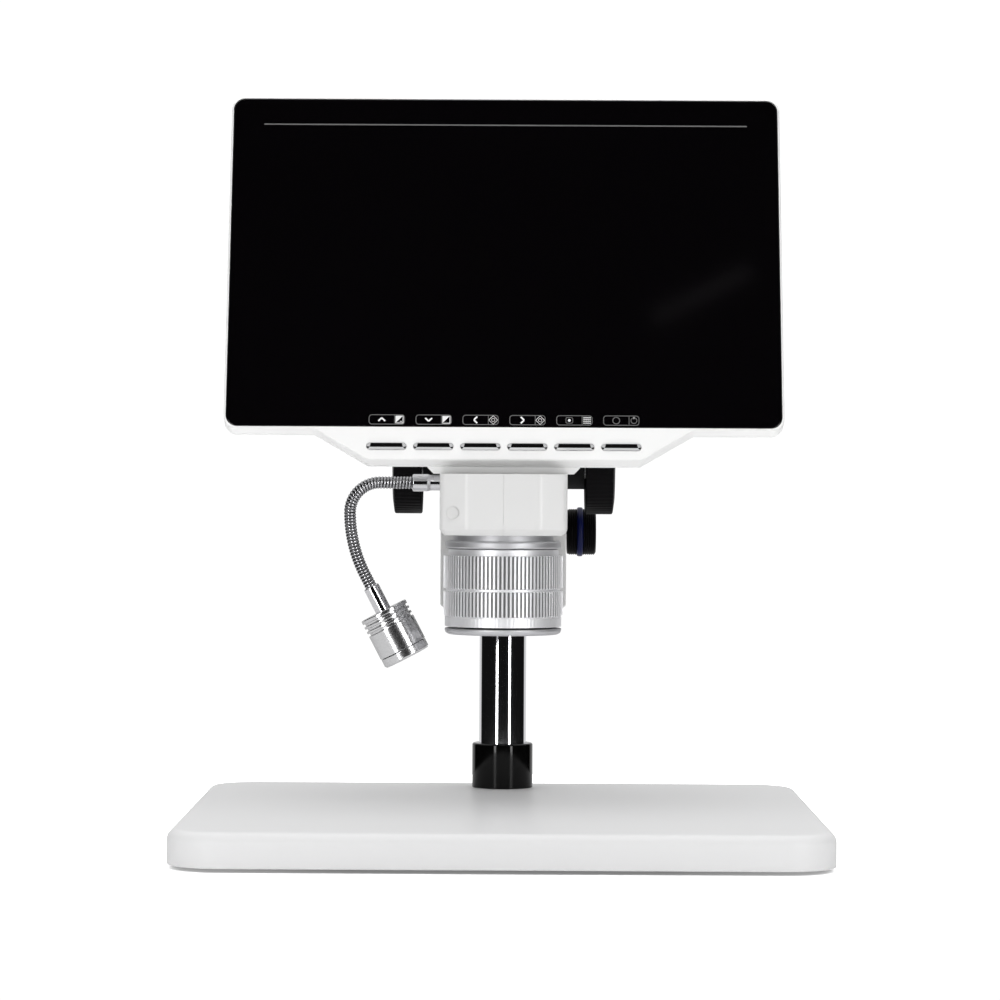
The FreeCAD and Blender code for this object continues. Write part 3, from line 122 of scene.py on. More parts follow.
class Surfaces:
    """Grids of points worked out from outlines, profiles and paths."""

    @staticmethod
    def ring(corners: Sequence[Corner], inset: float = 0.0, steps: int = 6) -> Array:
        """Points round an outline with rounded corners, drawn in by an inset.

        Each corner is an arc about a fixed centre that lies one radius from both of its sides:
        centre = corner + radius (n1 + n2) / (1 + n1 . n2), with n the sides' inward normals.
        Drawing in takes the inset from the radius of an outward corner and adds it to that of an
        inward one, so every ring of an outline has the same number of points.

        Args:
            corners: the outline, anticlockwise.
            inset: how far the ring lies inside the outline.
            steps: arc steps at each corner.

        Returns:
            Points as an array of (corners * (steps + 1), 2).
        """
        points = np.array([(c.x, c.y) for c in corners], float)
        radius = np.maximum([c.radius for c in corners], 1e-4)
        before = points - np.roll(points, 1, axis=0)
        after = np.roll(points, -1, axis=0) - points
        before /= np.linalg.norm(before, axis=1)[:, None]
        after /= np.linalg.norm(after, axis=1)[:, None]
        n1 = np.stack([-before[:, 1], before[:, 0]], axis=1)
        n2 = np.stack([-after[:, 1], after[:, 0]], axis=1)
        cross = before[:, 0] * after[:, 1] - before[:, 1] * after[:, 0]
        dot = (n1 * n2).sum(axis=1)
        outward = np.where(cross >= 0, 1.0, -1.0)
        centre = points + (outward * radius / (1 + dot))[:, None] * (n1 + n2)
        share = np.linspace(0, 1, steps + 1)
        start = np.arctan2(-outward * n1[:, 1], -outward * n1[:, 0])
        angle = start[:, None] + np.arctan2(cross, dot)[:, None] * share
        reach = (radius - outward * inset)[:, None]
        arc = np.stack([np.cos(angle), np.sin(angle)], axis=2) * reach[:, :, None]
        return (centre[:, None] + arc).reshape(-1, 2)

    @staticmethod
    def rectangle(x0: float, x1: float, y0: float, y1: float, radius: float) -> list[Corner]:
        """Corners of a rectangle, anticlockwise."""
        return [Corner(x, y, radius) for x, y in ((x0, y0), (x1, y0), (x1, y1), (x0, y1))]

    @staticmethod
    def around(count: int) -> Array:
        """Angles of a full turn in equal steps."""
        return np.linspace(0, FULL_TURN, count, endpoint=False)

    @staticmethod
    def edge_rounding(radius: float, steps: int = 5) -> list[tuple[float, float]]:
        """Inset and depth of the rings that round an edge.

        The profile is a quarter circle: inset = radius (1 - sin a), depth = radius (1 - cos a)
        for a from 0 on the flat face to 90 degrees on the side.

        Args:
            radius: rounding of the edge.
            steps: how many steps the quarter turn has.

        Returns:
            Pairs of inset and depth from the flat face to the side.
        """
        angles = np.linspace(0, math.pi / 2, steps + 1)
        return [(radius * (1 - math.sin(a)), radius * (1 - math.cos(a))) for a in angles]

    @staticmethod
    def stack_faces(rows: int, columns: int, closed: bool = False) -> list[tuple[int, ...]]:
        """Quads between rows of points that each close on themselves.

        Args:
            rows: number of rows.
            columns: points in a row.
            closed: whether the last row joins the first; if not, both ends get a flat cap.

        Returns:
            Faces as tuples of indices.
        """
        last = rows if closed else rows - 1
        row = np.arange(last)[:, None]
        column = np.arange(columns)[None, :]
        a = row * columns + column
        b = row * columns + (column + 1) % columns
        c = ((row + 1) % rows) * columns + (column + 1) % columns
        d = ((row + 1) % rows) * columns + column
        faces = [tuple(f) for f in np.stack([a, b, c, d], axis=2).reshape(-1, 4).tolist()]
        if not closed:
            faces.append(tuple(range(columns - 1, -1, -1)))
            faces.append(tuple(range((rows - 1) * columns, rows * columns)))
        return faces

    @staticmethod
    def turned(profile: Array, angles: Array, wave: Optional[Array] = None) -> Array:
        """A profile of radius and height carried round the Z axis.

        x = r cos a, y = r sin a, z = h, where r is the profile's radius less the wave's depth.

        Args:
            profile: radius and height, as (points, 2).
            angles: the angles that the profile is set at.
            wave: depth taken from the radius, as (points, angles), for ribs and flutes.

        Returns:
            Points as (points, angles, 3).
        """
        radius = profile[:, :1] - (0.0 if wave is None else wave)
        radius = np.broadcast_to(radius, (len(profile), len(angles)))
        height = np.broadcast_to(profile[:, 1:], radius.shape)
        return np.stack([radius * np.cos(angles), radius * np.sin(angles), height], axis=2)

    @staticmethod
    def tube(path: Array, heading: Array, radius: Array, sides: int) -> Array:
        """A round section carried along a path that lies in a plane of constant Y.

        point = path + r (cos a across + sin a Y), with across square to the heading.

        Args:
            path: centres as (stations, 3).
            heading: unit directions as (stations, 3).
            radius: radius as (stations, sides).
            sides: points round the tube.

        Returns:
            Points as (stations, sides, 3).
        """
        angle = Surfaces.around(sides)
        side = np.array([0.0, 1.0, 0.0])
        across = np.cross(side, heading)
        around = (np.cos(angle)[None, :, None] * across[:, None]
                  + np.sin(angle)[None, :, None] * side[None, None])
        return path[:, None] + radius[:, :, None] * around

    @staticmethod
    def lean(points: Array) -> Array:
        """Screen coordinates (x, depth behind the glass, height up the glass) as places.

        y = glass edge + depth cos t + up sin t, z = glass edge - depth sin t + up cos t.

        Args:
            points: any array whose last axis is x, depth, up.

        Returns:
            The same array as x, y, z.
        """
        x, depth, up = points[..., 0], points[..., 1], points[..., 2]
        y = GLASS_Y + depth * math.cos(TILT) + up * math.sin(TILT)
        z = GLASS_Z - depth * math.sin(TILT) + up * math.cos(TILT)
        return np.stack([x, y, z], axis=-1)

    @staticmethod
    def lie(points: Array, start: Place, sign: float = 1.0) -> Array:
        """Turn a piece made about Z so that its height runs along +X or -X from a start point."""
        x, y, z = points[..., 0], points[..., 1], points[..., 2]
        return np.stack([sign * z + start[0], y + start[1], -sign * x + start[2]], axis=-1)


class Finishes:
    """Builds the shared shader groups once and a material for each finish."""

    def __init__(self) -> None:
        """Make the groups and an empty shelf of materials."""
        self.shelf: dict[str, bpy.types.Material] = {}
        self.groups = {
            Grain.MOULDED: self.noise_group("moulded_grain", 3.0, 0.55, False),
            Grain.CAST: self.noise_group("cast_grain", 5.0, 0.7, False),
            Grain.TURNED: self.noise_group("turned_lines", 2.0, 0.6, True),
            Grain.SMUDGED: self.noise_group("handling_smudges", 1.0, 0.5, False),
        }

    @staticmethod
    def noise_group(name: str, detail: float, rough: float, turned: bool) -> bpy.types.ShaderNodeTree:
        """A group that varies a colour and a roughness and gives a bump height.

        Value = noise of place / grain size. A turned surface uses (distance from the axis, height
        along it) in place of the three coordinates, so that its lines run round it. Colour is
        scaled by 1 + contrast (value - 1/2), roughness gets spread (value - 1/2) added.

        Args:
            name: the group's name.
            detail: octaves of the noise.
            rough: how much the finer octaves count.
            turned: whether the pattern runs round the Z axis.

        Returns:
            The node group.
        """
        tree = bpy.data.node_groups.new(name, "ShaderNodeTree")
        face = tree.interface
        face.new_socket("Place", in_out="INPUT", socket_type="NodeSocketVector")
        for label in ("Grain", "Contrast", "Spread", "Roughness"):
            face.new_socket(label, in_out="INPUT", socket_type="NodeSocketFloat")
        face.new_socket("Tint", in_out="INPUT", socket_type="NodeSocketColor")
        face.new_socket("Colour", in_out="OUTPUT", socket_type="NodeSocketColor")
        for label in ("Roughness", "Height"):
            face.new_socket(label, in_out="OUTPUT", socket_type="NodeSocketFloat")
        nodes, links = tree.nodes, tree.links
        given = nodes.new("NodeGroupInput")
        out = nodes.new("NodeGroupOutput")
        place = given.outputs["Place"]
        if turned:
            split = nodes.new("ShaderNodeSeparateXYZ")
            links.new(place, split.inputs[0])
            flat = nodes.new("ShaderNodeCombineXYZ")
            links.new(split.outputs["X"], flat.inputs["X"])
            links.new(split.outputs["Y"], flat.inputs["Y"])
            length = nodes.new("ShaderNodeVectorMath")
            length.operation = "LENGTH"
            links.new(flat.outputs[0], length.inputs[0])
            joined = nodes.new("ShaderNodeCombineXYZ")
            links.new(length.outputs["Value"], joined.inputs["X"])
            links.new(split.outputs["Z"], joined.inputs["Y"])
            place = joined.outputs[0]
        inverse = Finishes.maths(tree, "DIVIDE", 1.0, given.outputs["Grain"])
        noise = nodes.new("ShaderNodeTexNoise")
        Finishes.set_inputs(noise, {"Scale": 1.0, "Detail": detail, "Roughness": rough})
        links.new(Finishes.scaled(tree, place, inverse), noise.inputs["Vector"])
        centred = Finishes.maths(tree, "SUBTRACT", noise.outputs["Fac"], 0.5)
        change = Finishes.maths(tree, "MULTIPLY", centred, given.outputs["Contrast"])
        gain = Finishes.maths(tree, "ADD", change, 1.0)
        links.new(Finishes.scaled(tree, given.outputs["Tint"], gain), out.inputs["Colour"])
        shift = Finishes.maths(tree, "MULTIPLY", centred, given.outputs["Spread"])
        links.new(Finishes.maths(tree, "ADD", shift, given.outputs["Roughness"]), out.inputs["Roughness"])
        links.new(noise.outputs["Fac"], out.inputs["Height"])
        return tree

    @staticmethod
    def set_inputs(node: bpy.types.Node, values: dict[str, object]) -> None:
        """Give a node's inputs their plain values, by name."""
        for label, value in values.items():
            node.inputs[label].default_value = value

    @staticmethod
    def maths(tree: bpy.types.NodeTree, operation: str, *values: object) -> bpy.types.NodeSocket:
        """Add a math node.

        Args:
            tree: where the node goes.
            operation: Blender's name of the operation.
            values: numbers or sockets for its inputs.

        Returns:
            Its output socket.
        """
        node = tree.nodes.new("ShaderNodeMath")
        node.operation = operation
        for socket, value in zip(node.inputs, values):
            if isinstance(value, bpy.types.NodeSocket):
                tree.links.new(value, socket)
            else:
                socket.default_value = value
        return node.outputs[0]

    @staticmethod
    def scaled(tree: bpy.types.NodeTree, vector: bpy.types.NodeSocket,
               factor: bpy.types.NodeSocket) -> bpy.types.NodeSocket:
        """Add a node that multiplies a vector or a colour.

        Args:
            tree: where the node goes.
            vector: the socket of the vector or colour.
            factor: the socket of the factor.

        Returns:
            Its output socket.
        """
        node = tree.nodes.new("ShaderNodeVectorMath")
        node.operation = "SCALE"
        tree.links.new(vector, node.inputs[0])
        tree.links.new(factor, node.inputs["Scale"])
        return node.outputs[0]

    @staticmethod
    def ramp(tree: bpy.types.NodeTree, value: bpy.types.NodeSocket, source: tuple[float, float],
             target: tuple[float, float] = (0.0, 1.0), kind: str = "SMOOTHSTEP") -> bpy.types.NodeSocket:
        """Add a node that carries one range to another.

        Args:
            tree: where the node goes.
            value: the socket to read.
            source: the range it comes from, which may run downwards.
            target: the range it goes to.
            kind: Blender's name of the curve between.

        Returns:
            Its output socket.
        """
        node = tree.nodes.new("ShaderNodeMapRange")
        node.interpolation_type = kind
        for label, end in zip(("From Min", "From Max", "To Min", "To Max"), source + target):
            node.inputs[label].default_value = end
        tree.links.new(value, node.inputs["Value"])
        return node.outputs["Result"]

    def material(self, finish: Finish) -> bpy.types.Material:
        """The material of a finish, made the first time that it is asked for.

        Args:
            finish: what to make.

        Returns:
            A material with a Principled shader fed by the finish's grain group.
        """
        if finish.name in self.shelf:
            return self.shelf[finish.name]
        made = bpy.data.materials.new(finish.name)
        made.use_nodes = True
        tree = made.node_tree
        shader = tree.nodes["Principled BSDF"]
        whole = (*finish.colour, 1.0)
        self.set_inputs(shader, {
            "Metallic": finish.metallic, "IOR": IOR, "Specular IOR Level": finish.specular,
            "Specular Tint": (finish.edge, finish.edge, finish.edge, 1.0),
            "Transmission Weight": finish.transmission})
        if finish.glow:
            self.set_inputs(shader, {"Emission Color": whole, "Emission Strength": finish.glow})
        group = tree.nodes.new("ShaderNodeGroup")
        group.node_tree = self.groups[finish.grain]
        self.set_inputs(group, {
            "Grain": finish.grain_size, "Contrast": finish.contrast, "Spread": finish.spread,
            "Roughness": finish.roughness, "Tint": whole})
        where = tree.nodes.new("ShaderNodeTexCoord")
        turn = tree.nodes.new("ShaderNodeMapping")
        turn.vector_type = "TEXTURE"
        centre = tuple(v * MM for v in finish.centre)
        self.set_inputs(turn, {"Location": centre, "Rotation": finish.turn})
        bump = tree.nodes.new("ShaderNodeBump")
        self.set_inputs(bump, {"Strength": 1.0, "Distance": finish.relief})
        links = tree.links
        links.new(where.outputs["Object"], turn.inputs["Vector"])
        links.new(turn.outputs["Vector"], group.inputs["Place"])
        colour = group.outputs["Colour"]
        # Painted shade: the colour is darkened by the per-point mask at the bottom of grooves, where shade
        # falls.
        if finish.painted_groove_shade:
            mask = tree.nodes.new("ShaderNodeAttribute")
            mask.attribute_name = "painted_groove_shade"
            loss = self.maths(tree, "MULTIPLY", mask.outputs["Fac"], finish.painted_groove_shade)
            colour = self.scaled(tree, colour, self.maths(tree, "SUBTRACT", 1.0, loss))
        links.new(colour, shader.inputs["Base Color"])
        links.new(group.outputs["Roughness"], shader.inputs["Roughness"])
        links.new(group.outputs["Height"], bump.inputs["Height"])
        links.new(bump.outputs["Normal"], shader.inputs["Normal"])
        self.shelf[finish.name] = made
        return made


WHITE = Finish("white_plastic", (0.82, 0.82, 0.816), 0.32, grain_size=0.0009, contrast=0.012)
# Painted light: a brighter copy of the white plastic that lifts the shade under the chin.
LIT_PLINTH_WHITE = Finish("plinth_white_painted_light", (0.90, 0.90, 0.895), 0.34, grain_size=0.0009, contrast=0.012)
# Partly painted shade: a darker copy of the white plastic; part is the housing's own tone, part stands for
# its less-lit faces.
SHADED_SHELL_WHITE = Finish("camera_shell_shaded_white", (0.655, 0.655, 0.652), 0.34, grain_size=0.0009, contrast=0.012)
BASE_WHITE = Finish("white_base_lacquer", (0.52, 0.52, 0.523), 0.40, grain_size=0.0008, contrast=0.02,
                    relief=0.000006, specular=0.3)
PLUG_WHITE = Finish("plug_white", (0.60, 0.60, 0.595), 0.4)
CHROME = Finish("post_chrome", (0.84, 0.84, 0.87), 0.06, Grain.SMUDGED, 1.0, 0.02, 0.03, 0.01, 0.0)
FERRULE_CHROME = Finish("ferrule_chrome", (0.78, 0.78, 0.80), 0.10, Grain.SMUDGED, 1.0, 0.004,
                        0.05, 0.06, 0.0)
# Painted shade: the colour darkens between the turns of the winding, where shade falls.
NECK_CHROME = Finish("neck_chrome", (0.58, 0.58, 0.60), 0.14, Grain.SMUDGED, 1.0, 0.003, 0.06, 0.06, 0.0,
                     painted_groove_shade=0.9)
COLLAR = Finish("collar_gloss_black", (0.002, 0.002, 0.002), 0.05, Grain.SMUDGED, 0.0, 0.01, 0.1, 0.03,
                0.0, specular=0.2)
BLACK_PLASTIC = Finish("knob_black_plastic", (0.0035, 0.0032, 0.0038), 0.42, Grain.MOULDED, 0.0, 0.0005,
                       0.2, 0.12, 0.00001, specular=0.06)
ARM_BLACK = Finish("arm_black_paint", (0.012, 0.012, 0.013), 0.48, Grain.CAST, 0.0, 0.0012, 0.25, 0.15,
                   0.00003, specular=0.15)
RING_BLUE = Finish("ring_blue", (0.003, 0.006, 0.055), 0.35, Grain.MOULDED, 0.0, 0.0006, 0.1, 0.08,
                   specular=0.2)
SILVER = Finish("lens_silver", (0.66, 0.66, 0.68), 0.52, Grain.TURNED, 0.9, 0.0003, 0.06, 0.08, 0.0000004,
                edge=0.65)
# Painted shade: the colour darkens between the ribs, where shade falls.
RIBBED_SILVER = Finish("lens_silver_ribbed", (0.88, 0.88, 0.90), 0.42, Grain.TURNED, 0.6, 0.0003, 0.03,
                       0.08, 0.0000002, edge=0.65, painted_groove_shade=0.8)
GLASS_BLACK = Finish("screen_glass_black", (0.0016, 0.0012, 0.0017), 0.05, Grain.SMUDGED, 0.0, 0.05, 0.2,
                     0.03, 0.0)
MARK_WHITE = Finish("mark_white", (0.80, 0.80, 0.80), 0.5, Grain.MOULDED, 0.0, 0.0004, 0.05)
MARK_GREY = Finish("mark_grey", (0.12, 0.12, 0.12), 0.5, Grain.MOULDED, 0.0, 0.0004, 0.1)
# Painted highlight: a grey strip standing for the glint along the top edge of the panel behind the glass.
GLINT_GREY = Finish("panel_edge_glint_grey", (0.14, 0.14, 0.14), 0.4, Grain.MOULDED, 0.0, 0.002, 0.25)
BUTTON = Finish("button_chrome", (0.76, 0.76, 0.77), 0.07, Grain.SMUDGED, 1.0, 0.003, 0.03, 0.04, 0.0)
RUBBER = Finish("foot_rubber", (0.02, 0.02, 0.02), 0.75, Grain.CAST, 0.0, 0.0006, 0.3, 0.1, 0.00002)
LENS_BLACK = Finish("barrel_black", (0.012, 0.012, 0.012), 0.4, Grain.TURNED, 0.6, 0.0004, 0.2, 0.1)
STEEL = Finish("screw_steel", (0.55, 0.55, 0.56), 0.28, Grain.CAST, 1.0, 0.0008, 0.15, 0.15)
PLATE = Finish("plate_steel_paint", (0.10, 0.10, 0.105), 0.45, Grain.CAST, 0.3, 0.0015, 0.2, 0.15, 0.00001)
BRASS = Finish("brass", (0.72, 0.52, 0.22), 0.26, Grain.CAST, 1.0, 0.0008, 0.12, 0.12)
BOARD = Finish("board_green", (0.02, 0.12, 0.05), 0.4, Grain.CAST, 0.0, 0.002, 0.25, 0.1)
CLEAR = Finish("clear_glass", (0.95, 0.97, 0.97), 0.03, Grain.SMUDGED, 0.0, 0.01, 0.02, 0.02, 0.0,
               transmission=1.0)
LED = Finish("led_white", (0.95, 0.92, 0.80), 0.3, Grain.MOULDED, 0.0, 0.0005, 0.03, glow=0.15)


class Bench:
    """Turns grids of points into pieces that ride on a body of the frame."""

    def __init__(self, finishes: Finishes) -> None:
        """Keep the finishes and count the pieces."""
        self.finishes = finishes
        self.count = 0

    def piece(self, name: str, points: Array, faces: list, finish: Finish, body: Optional[str],
              replaces: Sequence[str] = (), slot: Optional[str] = None,
              smooth: float = 35.0) -> bpy.types.Object:
        """A mesh piece from points in millimetres.

        Args:
            name: the piece's name.
            points: any array whose last axis is x, y, z.
            faces: tuples of indices into the points, in order.
            finish: what it is made of.
            body: the body it rides on, or None if a blend follows.
            replaces: nodes that it stands for.
            slot: the record's material slot; passed on but not used.
            smooth: edges sharper than this many degrees stay sharp.

        Returns:
            The new object.
        """
        mesh = bpy.data.meshes.new(name)
        mesh.from_pydata((np.asarray(points, float).reshape(-1, 3) * MM).tolist(), [], faces)
        work = bmesh.new()
        work.from_mesh(mesh)
        bmesh.ops.remove_doubles(work, verts=work.verts, dist=2e-7)
        bmesh.ops.dissolve_degenerate(work, edges=work.edges, dist=1e-7)
        bmesh.ops.recalc_face_normals(work, faces=work.faces)
        work.to_mesh(mesh)
        work.free()
        item = self.placed(name, mesh, finish, body, replaces, slot, smooth)
        if body:
            self.flatten(item)
        return item

    def stacked(self, name: str, points: Array, finish: Finish, body: Optional[str],
                replaces: Sequence[str] = (), slot: Optional[str] = None, smooth: float = 35.0,
                closed: bool = False) -> bpy.types.Object:
        """A piece from rows of points that each close on themselves.

        Args:
            name: the piece's name.
            points: points as (rows, columns, 3), in millimetres.
            finish: what it is made of.
            body: the body it rides on, or None if a blend follows.
            replaces: nodes that it stands for.
            slot: the record's material slot; passed on but not used.
            smooth: edges sharper than this many degrees stay sharp.
            closed: whether the last row joins the first.

        Returns:
            The new object.
        """
        faces = Surfaces.stack_faces(*points.shape[:2], closed)
        return self.piece(name, points, faces, finish, body, replaces, slot, smooth)

    def cutter(self, points: Array) -> bpy.types.Object:
        """A block from rows of points, which isn't counted and which cut() removes."""
        self.count -= 1
        return self.stacked("cutter", points, WHITE, None)

    @staticmethod
    def painted_groove_shade(item: bpy.types.Object, depth: Callable[[Array], Array]) -> None:
        """Write the point attribute of painted shade that darkens a finish's colour at the bottom of
        grooves.

        Args:
            item: a piece.
            depth: gives 0 to 1 for points in millimetres.
        """
        spots = np.empty(len(item.data.vertices) * 3)
        item.data.vertices.foreach_get("co", spots)
        values = depth(spots.reshape(-1, 3) / MM).astype(np.float32)
        item.data.attributes.new("painted_groove_shade", "FLOAT", "POINT").data.foreach_set("value", values)

    def placed(self, name: str, mesh: bpy.types.Mesh, finish: Finish, body: Optional[str],
               replaces: Sequence[str], slot: Optional[str], smooth: float) -> bpy.types.Object:
        """Link a finished mesh as a piece.

        Args:
            name: the piece's name.
            mesh: its mesh, in metres.
            finish: what it is made of.
            body: the body it rides on, or None if a blend follows.
            replaces: nodes that it stands for.
            slot: the record's material slot; not used.
            smooth: edges sharper than this many degrees stay sharp.

        Returns:
            The new object.
        """
        self.shade(mesh, smooth)
        item = bpy.data.objects.new(name, mesh)
        bpy.context.scene.collection.objects.link(item)
        mesh.materials.clear()
        mesh.materials.append(self.finishes.material(finish))
        if body:
            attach(item, body)
        if replaces:
            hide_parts(*replaces)
        self.count += 1
        LOG.info("%s: %d faces on %s", name, len(mesh.polygons), body or "two bodies")
        return item

    @staticmethod
    def shade(mesh: bpy.types.Mesh, smooth: float) -> None:
        """Shade a mesh smooth but for the edges sharper than an angle in degrees."""
        mesh.polygons.foreach_set("use_smooth", [True] * len(mesh.polygons))
        mesh.set_sharp_from_angle(angle=math.radians(smooth))

    @staticmethod
    def ease(item: bpy.types.Object, width: float, segments: int, angle: float) -> None:
        """Bevel the sharp edges of a piece.

        Args:
            item: the piece.
            width: how far the bevel reaches, in millimetres.
            segments: its steps.
            angle: edges flatter than this many degrees are left alone.
        """
        bevel = item.modifiers.new("eased_edges", "BEVEL")
        bevel.width = width * MM
        bevel.segments = segments
        bevel.limit_method = "ANGLE"
        bevel.angle_limit = math.radians(angle)

    @staticmethod
    def flatten(item: bpy.types.Object) -> None:
        """Weigh the vertex normals by face area, so that flats next to roundings shade as flats."""
        step = item.modifiers.new("even_normals", "WEIGHTED_NORMAL")
        step.keep_sharp = True

    def turned(self, name: str, corners: Sequence[Corner], finish: Finish, body: str,
               replaces: Sequence[str] = (), slot: Optional[str] = None, sides: int = 96,
               put: Optional[Callable[[Array], Array]] = None, steps: int = 5,
               smooth: float = 35.0) -> bpy.types.Object:
        """A turned piece whose section is a closed outline of radius and height.

        Args:
            name: the piece's name.
            corners: its section as radius, height and rounding.
            finish: what it is made of.
            body: the body it rides on.
            replaces: nodes that it stands for.
            slot: the record's material slot; passed on but not used.
            sides: how many sides it has.
            put: moves the points from the Z axis to their place.
            steps: arc steps at each corner of the section.
            smooth: edges sharper than this many degrees stay sharp.

        Returns:
            The new object.
        """
        profile = Surfaces.ring(corners, 0.0, steps)
        profile[:, 0] = np.maximum(profile[:, 0], 0.0)
        points = Surfaces.turned(profile, Surfaces.around(sides))
        points = put(points) if put else points
        return self.stacked(name, points, finish, body, replaces, slot, smooth, closed=True)

    def softened(self, name: str, node: str, width: float, finish: Finish, body: str,
                 slot: str) -> bpy.types.Object:
        """A copy of a node's mesh with its loose triangles joined and its edges eased.

        Args:
            name: the piece's name.
            node: the node that it copies and stands for.
            width: how far the bevel reaches, in millimetres.
            finish: what it is made of.
            body: the body it rides on.
            slot: the record's material slot; passed on but not used.

        Returns:
            The new object.
        """
        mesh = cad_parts[node].data.copy()
        work = bmesh.new()
        work.from_mesh(mesh)
        bmesh.ops.remove_doubles(work, verts=work.verts, dist=2e-6)
        bmesh.ops.dissolve_limit(work, angle_limit=math.radians(0.6), verts=work.verts, edges=work.edges)
        work.to_mesh(mesh)
        work.free()
        for extra in [a.name for a in mesh.attributes if a.name == "custom_normal"]:
            mesh.attributes.remove(mesh.attributes[extra])
        item = self.placed(name, mesh, finish, body, [node], slot, 35.0)
        self.ease(item, width, 3, 40)
        self.flatten(item)
        return item

    def cut(self, item: bpy.types.Object, cutters: Sequence[bpy.types.Object], smooth: float) -> None:
        """Take the cutters out of a piece and keep the result as its mesh.

        Args:
            item: the piece.
            cutters: closed meshes, which are removed afterwards.
            smooth: edges sharper than this many degrees stay sharp.
        """
        item.modifiers.clear()
        for cutter in cutters:
            step = item.modifiers.new("cut", "BOOLEAN")
            step.operation = "DIFFERENCE"
            step.solver = "EXACT"
            step.object = cutter
        bpy.context.view_layer.update()
        whole = item.evaluated_get(bpy.context.evaluated_depsgraph_get())
        result = bpy.data.meshes.new_from_object(whole)
        item.modifiers.clear()
        item.data = result
        self.shade(result, smooth)
        for cutter in cutters:
            bpy.data.objects.remove(cutter)


@dataclass
class Stand:
    """Base, feet, post, collar and cap."""

    half_x: float = 126.0
    half_y: float = 115.5
    low: float = 1.5
    top: float = 15.0
    corner: float = 20.0
    edge: float = 4.0
    wall: float = 3.0
    foot_x: float = 105.0
    foot_y: float = 94.5
    foot_radius: float = 7.0
    post_y: float = 92.0
    post_radius: float = 10.0
    post_bore: float = 8.0
    post_low: float = 7.5
    post_top: float = 235.0
    collar_radius: float = 12.9
    collar_top: float = 34.0
    cap_top: float = 237.2
    play: float = 0.02

    def upright(self, points: Array) -> Array:
        """Move a turned piece from the origin to the post's axis."""
        return points + np.array([0.0, self.post_y, 0.0])

    def build(self, bench: Bench) -> None:
        """Make the stand's pieces.

        The base is a stack of rings of one rounded outline: a small rounding at its foot, the
        straight side, and a quarter circle into the top face.

        Args:
            bench: makes the pieces.
        """
        corners = Surfaces.rectangle(-self.half_x, self.half_x, -self.half_y, self.half_y, self.corner)
        rounding = Surfaces.edge_rounding(self.edge, 8)
        lower = Surfaces.edge_rounding(0.6, 3)
        levels = [(inset, self.low + depth) for inset, depth in lower]
        levels += [(inset, self.top - depth) for inset, depth in reversed(rounding)]
        inside = [(self.wall, self.top - self.wall), (self.wall, self.low)]
        points = np.stack([self.level(corners, inset, z) for inset, z in inside + levels])
        bench.stacked("base_cover", points, BASE_WHITE, "stand", ["base_shell"], "white_shell")
        self.feet(bench)
        radius, play = self.post_radius, self.play
        bench.turned("chrome_post", [
            Corner(self.post_bore, self.post_low), Corner(radius, self.post_low, 0.3),
            Corner(radius, self.post_top, 0.4), Corner(self.post_bore, self.post_top)],
            CHROME, "stand", ["post"], "post_chrome", 128, self.upright)
        bench.turned("post_foot_collar", [
            Corner(radius + play, self.top + play), Corner(self.collar_radius, self.top + play, 0.25),
            Corner(self.collar_radius, self.collar_top, 0.9), Corner(radius + play, self.collar_top, 0.1)],
            COLLAR, "stand", ["post_collar"], "collar_black", 128, self.upright, 6)
        spigot = self.post_bore - 0.1
        bench.turned("post_top_cap", [
            Corner(0, self.post_top - 6), Corner(spigot, self.post_top - 6),
            Corner(spigot, self.post_top + play), Corner(radius, self.post_top + play, 0.2),
            Corner(radius, self.cap_top, 1.4), Corner(0, self.cap_top)],
            BLACK_PLASTIC, "stand", ["post_cap"], "black_plastic", 96, self.upright)

    def feet(self, bench: Bench) -> None:
        """Make the four rubber feet as one piece; each is a low turned disc.

        Args:
            bench: makes the piece.
        """
        profile = Surfaces.ring([Corner(0, 0), Corner(self.foot_radius, 0, 0.4),
                                 Corner(self.foot_radius, self.low, 0.1), Corner(0, self.low)], 0, 3)
        foot = Surfaces.turned(profile, Surfaces.around(48))
        disc = Surfaces.stack_faces(*foot.shape[:2], closed=True)
        feet = []
        faces: list[tuple[int, ...]] = []
        for x in (-self.foot_x, self.foot_x):
            for y in (-self.foot_y, self.foot_y):
                offset = len(feet) * foot.shape[0] * foot.shape[1]
                feet.append(foot + np.array([x, y, 0.0]))
                faces += [tuple(i + offset for i in f) for f in disc]
        bench.piece("rubber_feet", np.stack(feet), faces, RUBBER, "stand", ["base_feet"], "feet_rubber")

    @staticmethod
    def level(corners: Sequence[Corner], inset: float, z: float) -> Array:
        """One ring of an outline at a height."""
        ring = Surfaces.ring(corners, inset, 14)
        return np.column_stack([ring, np.full(len(ring), z)])


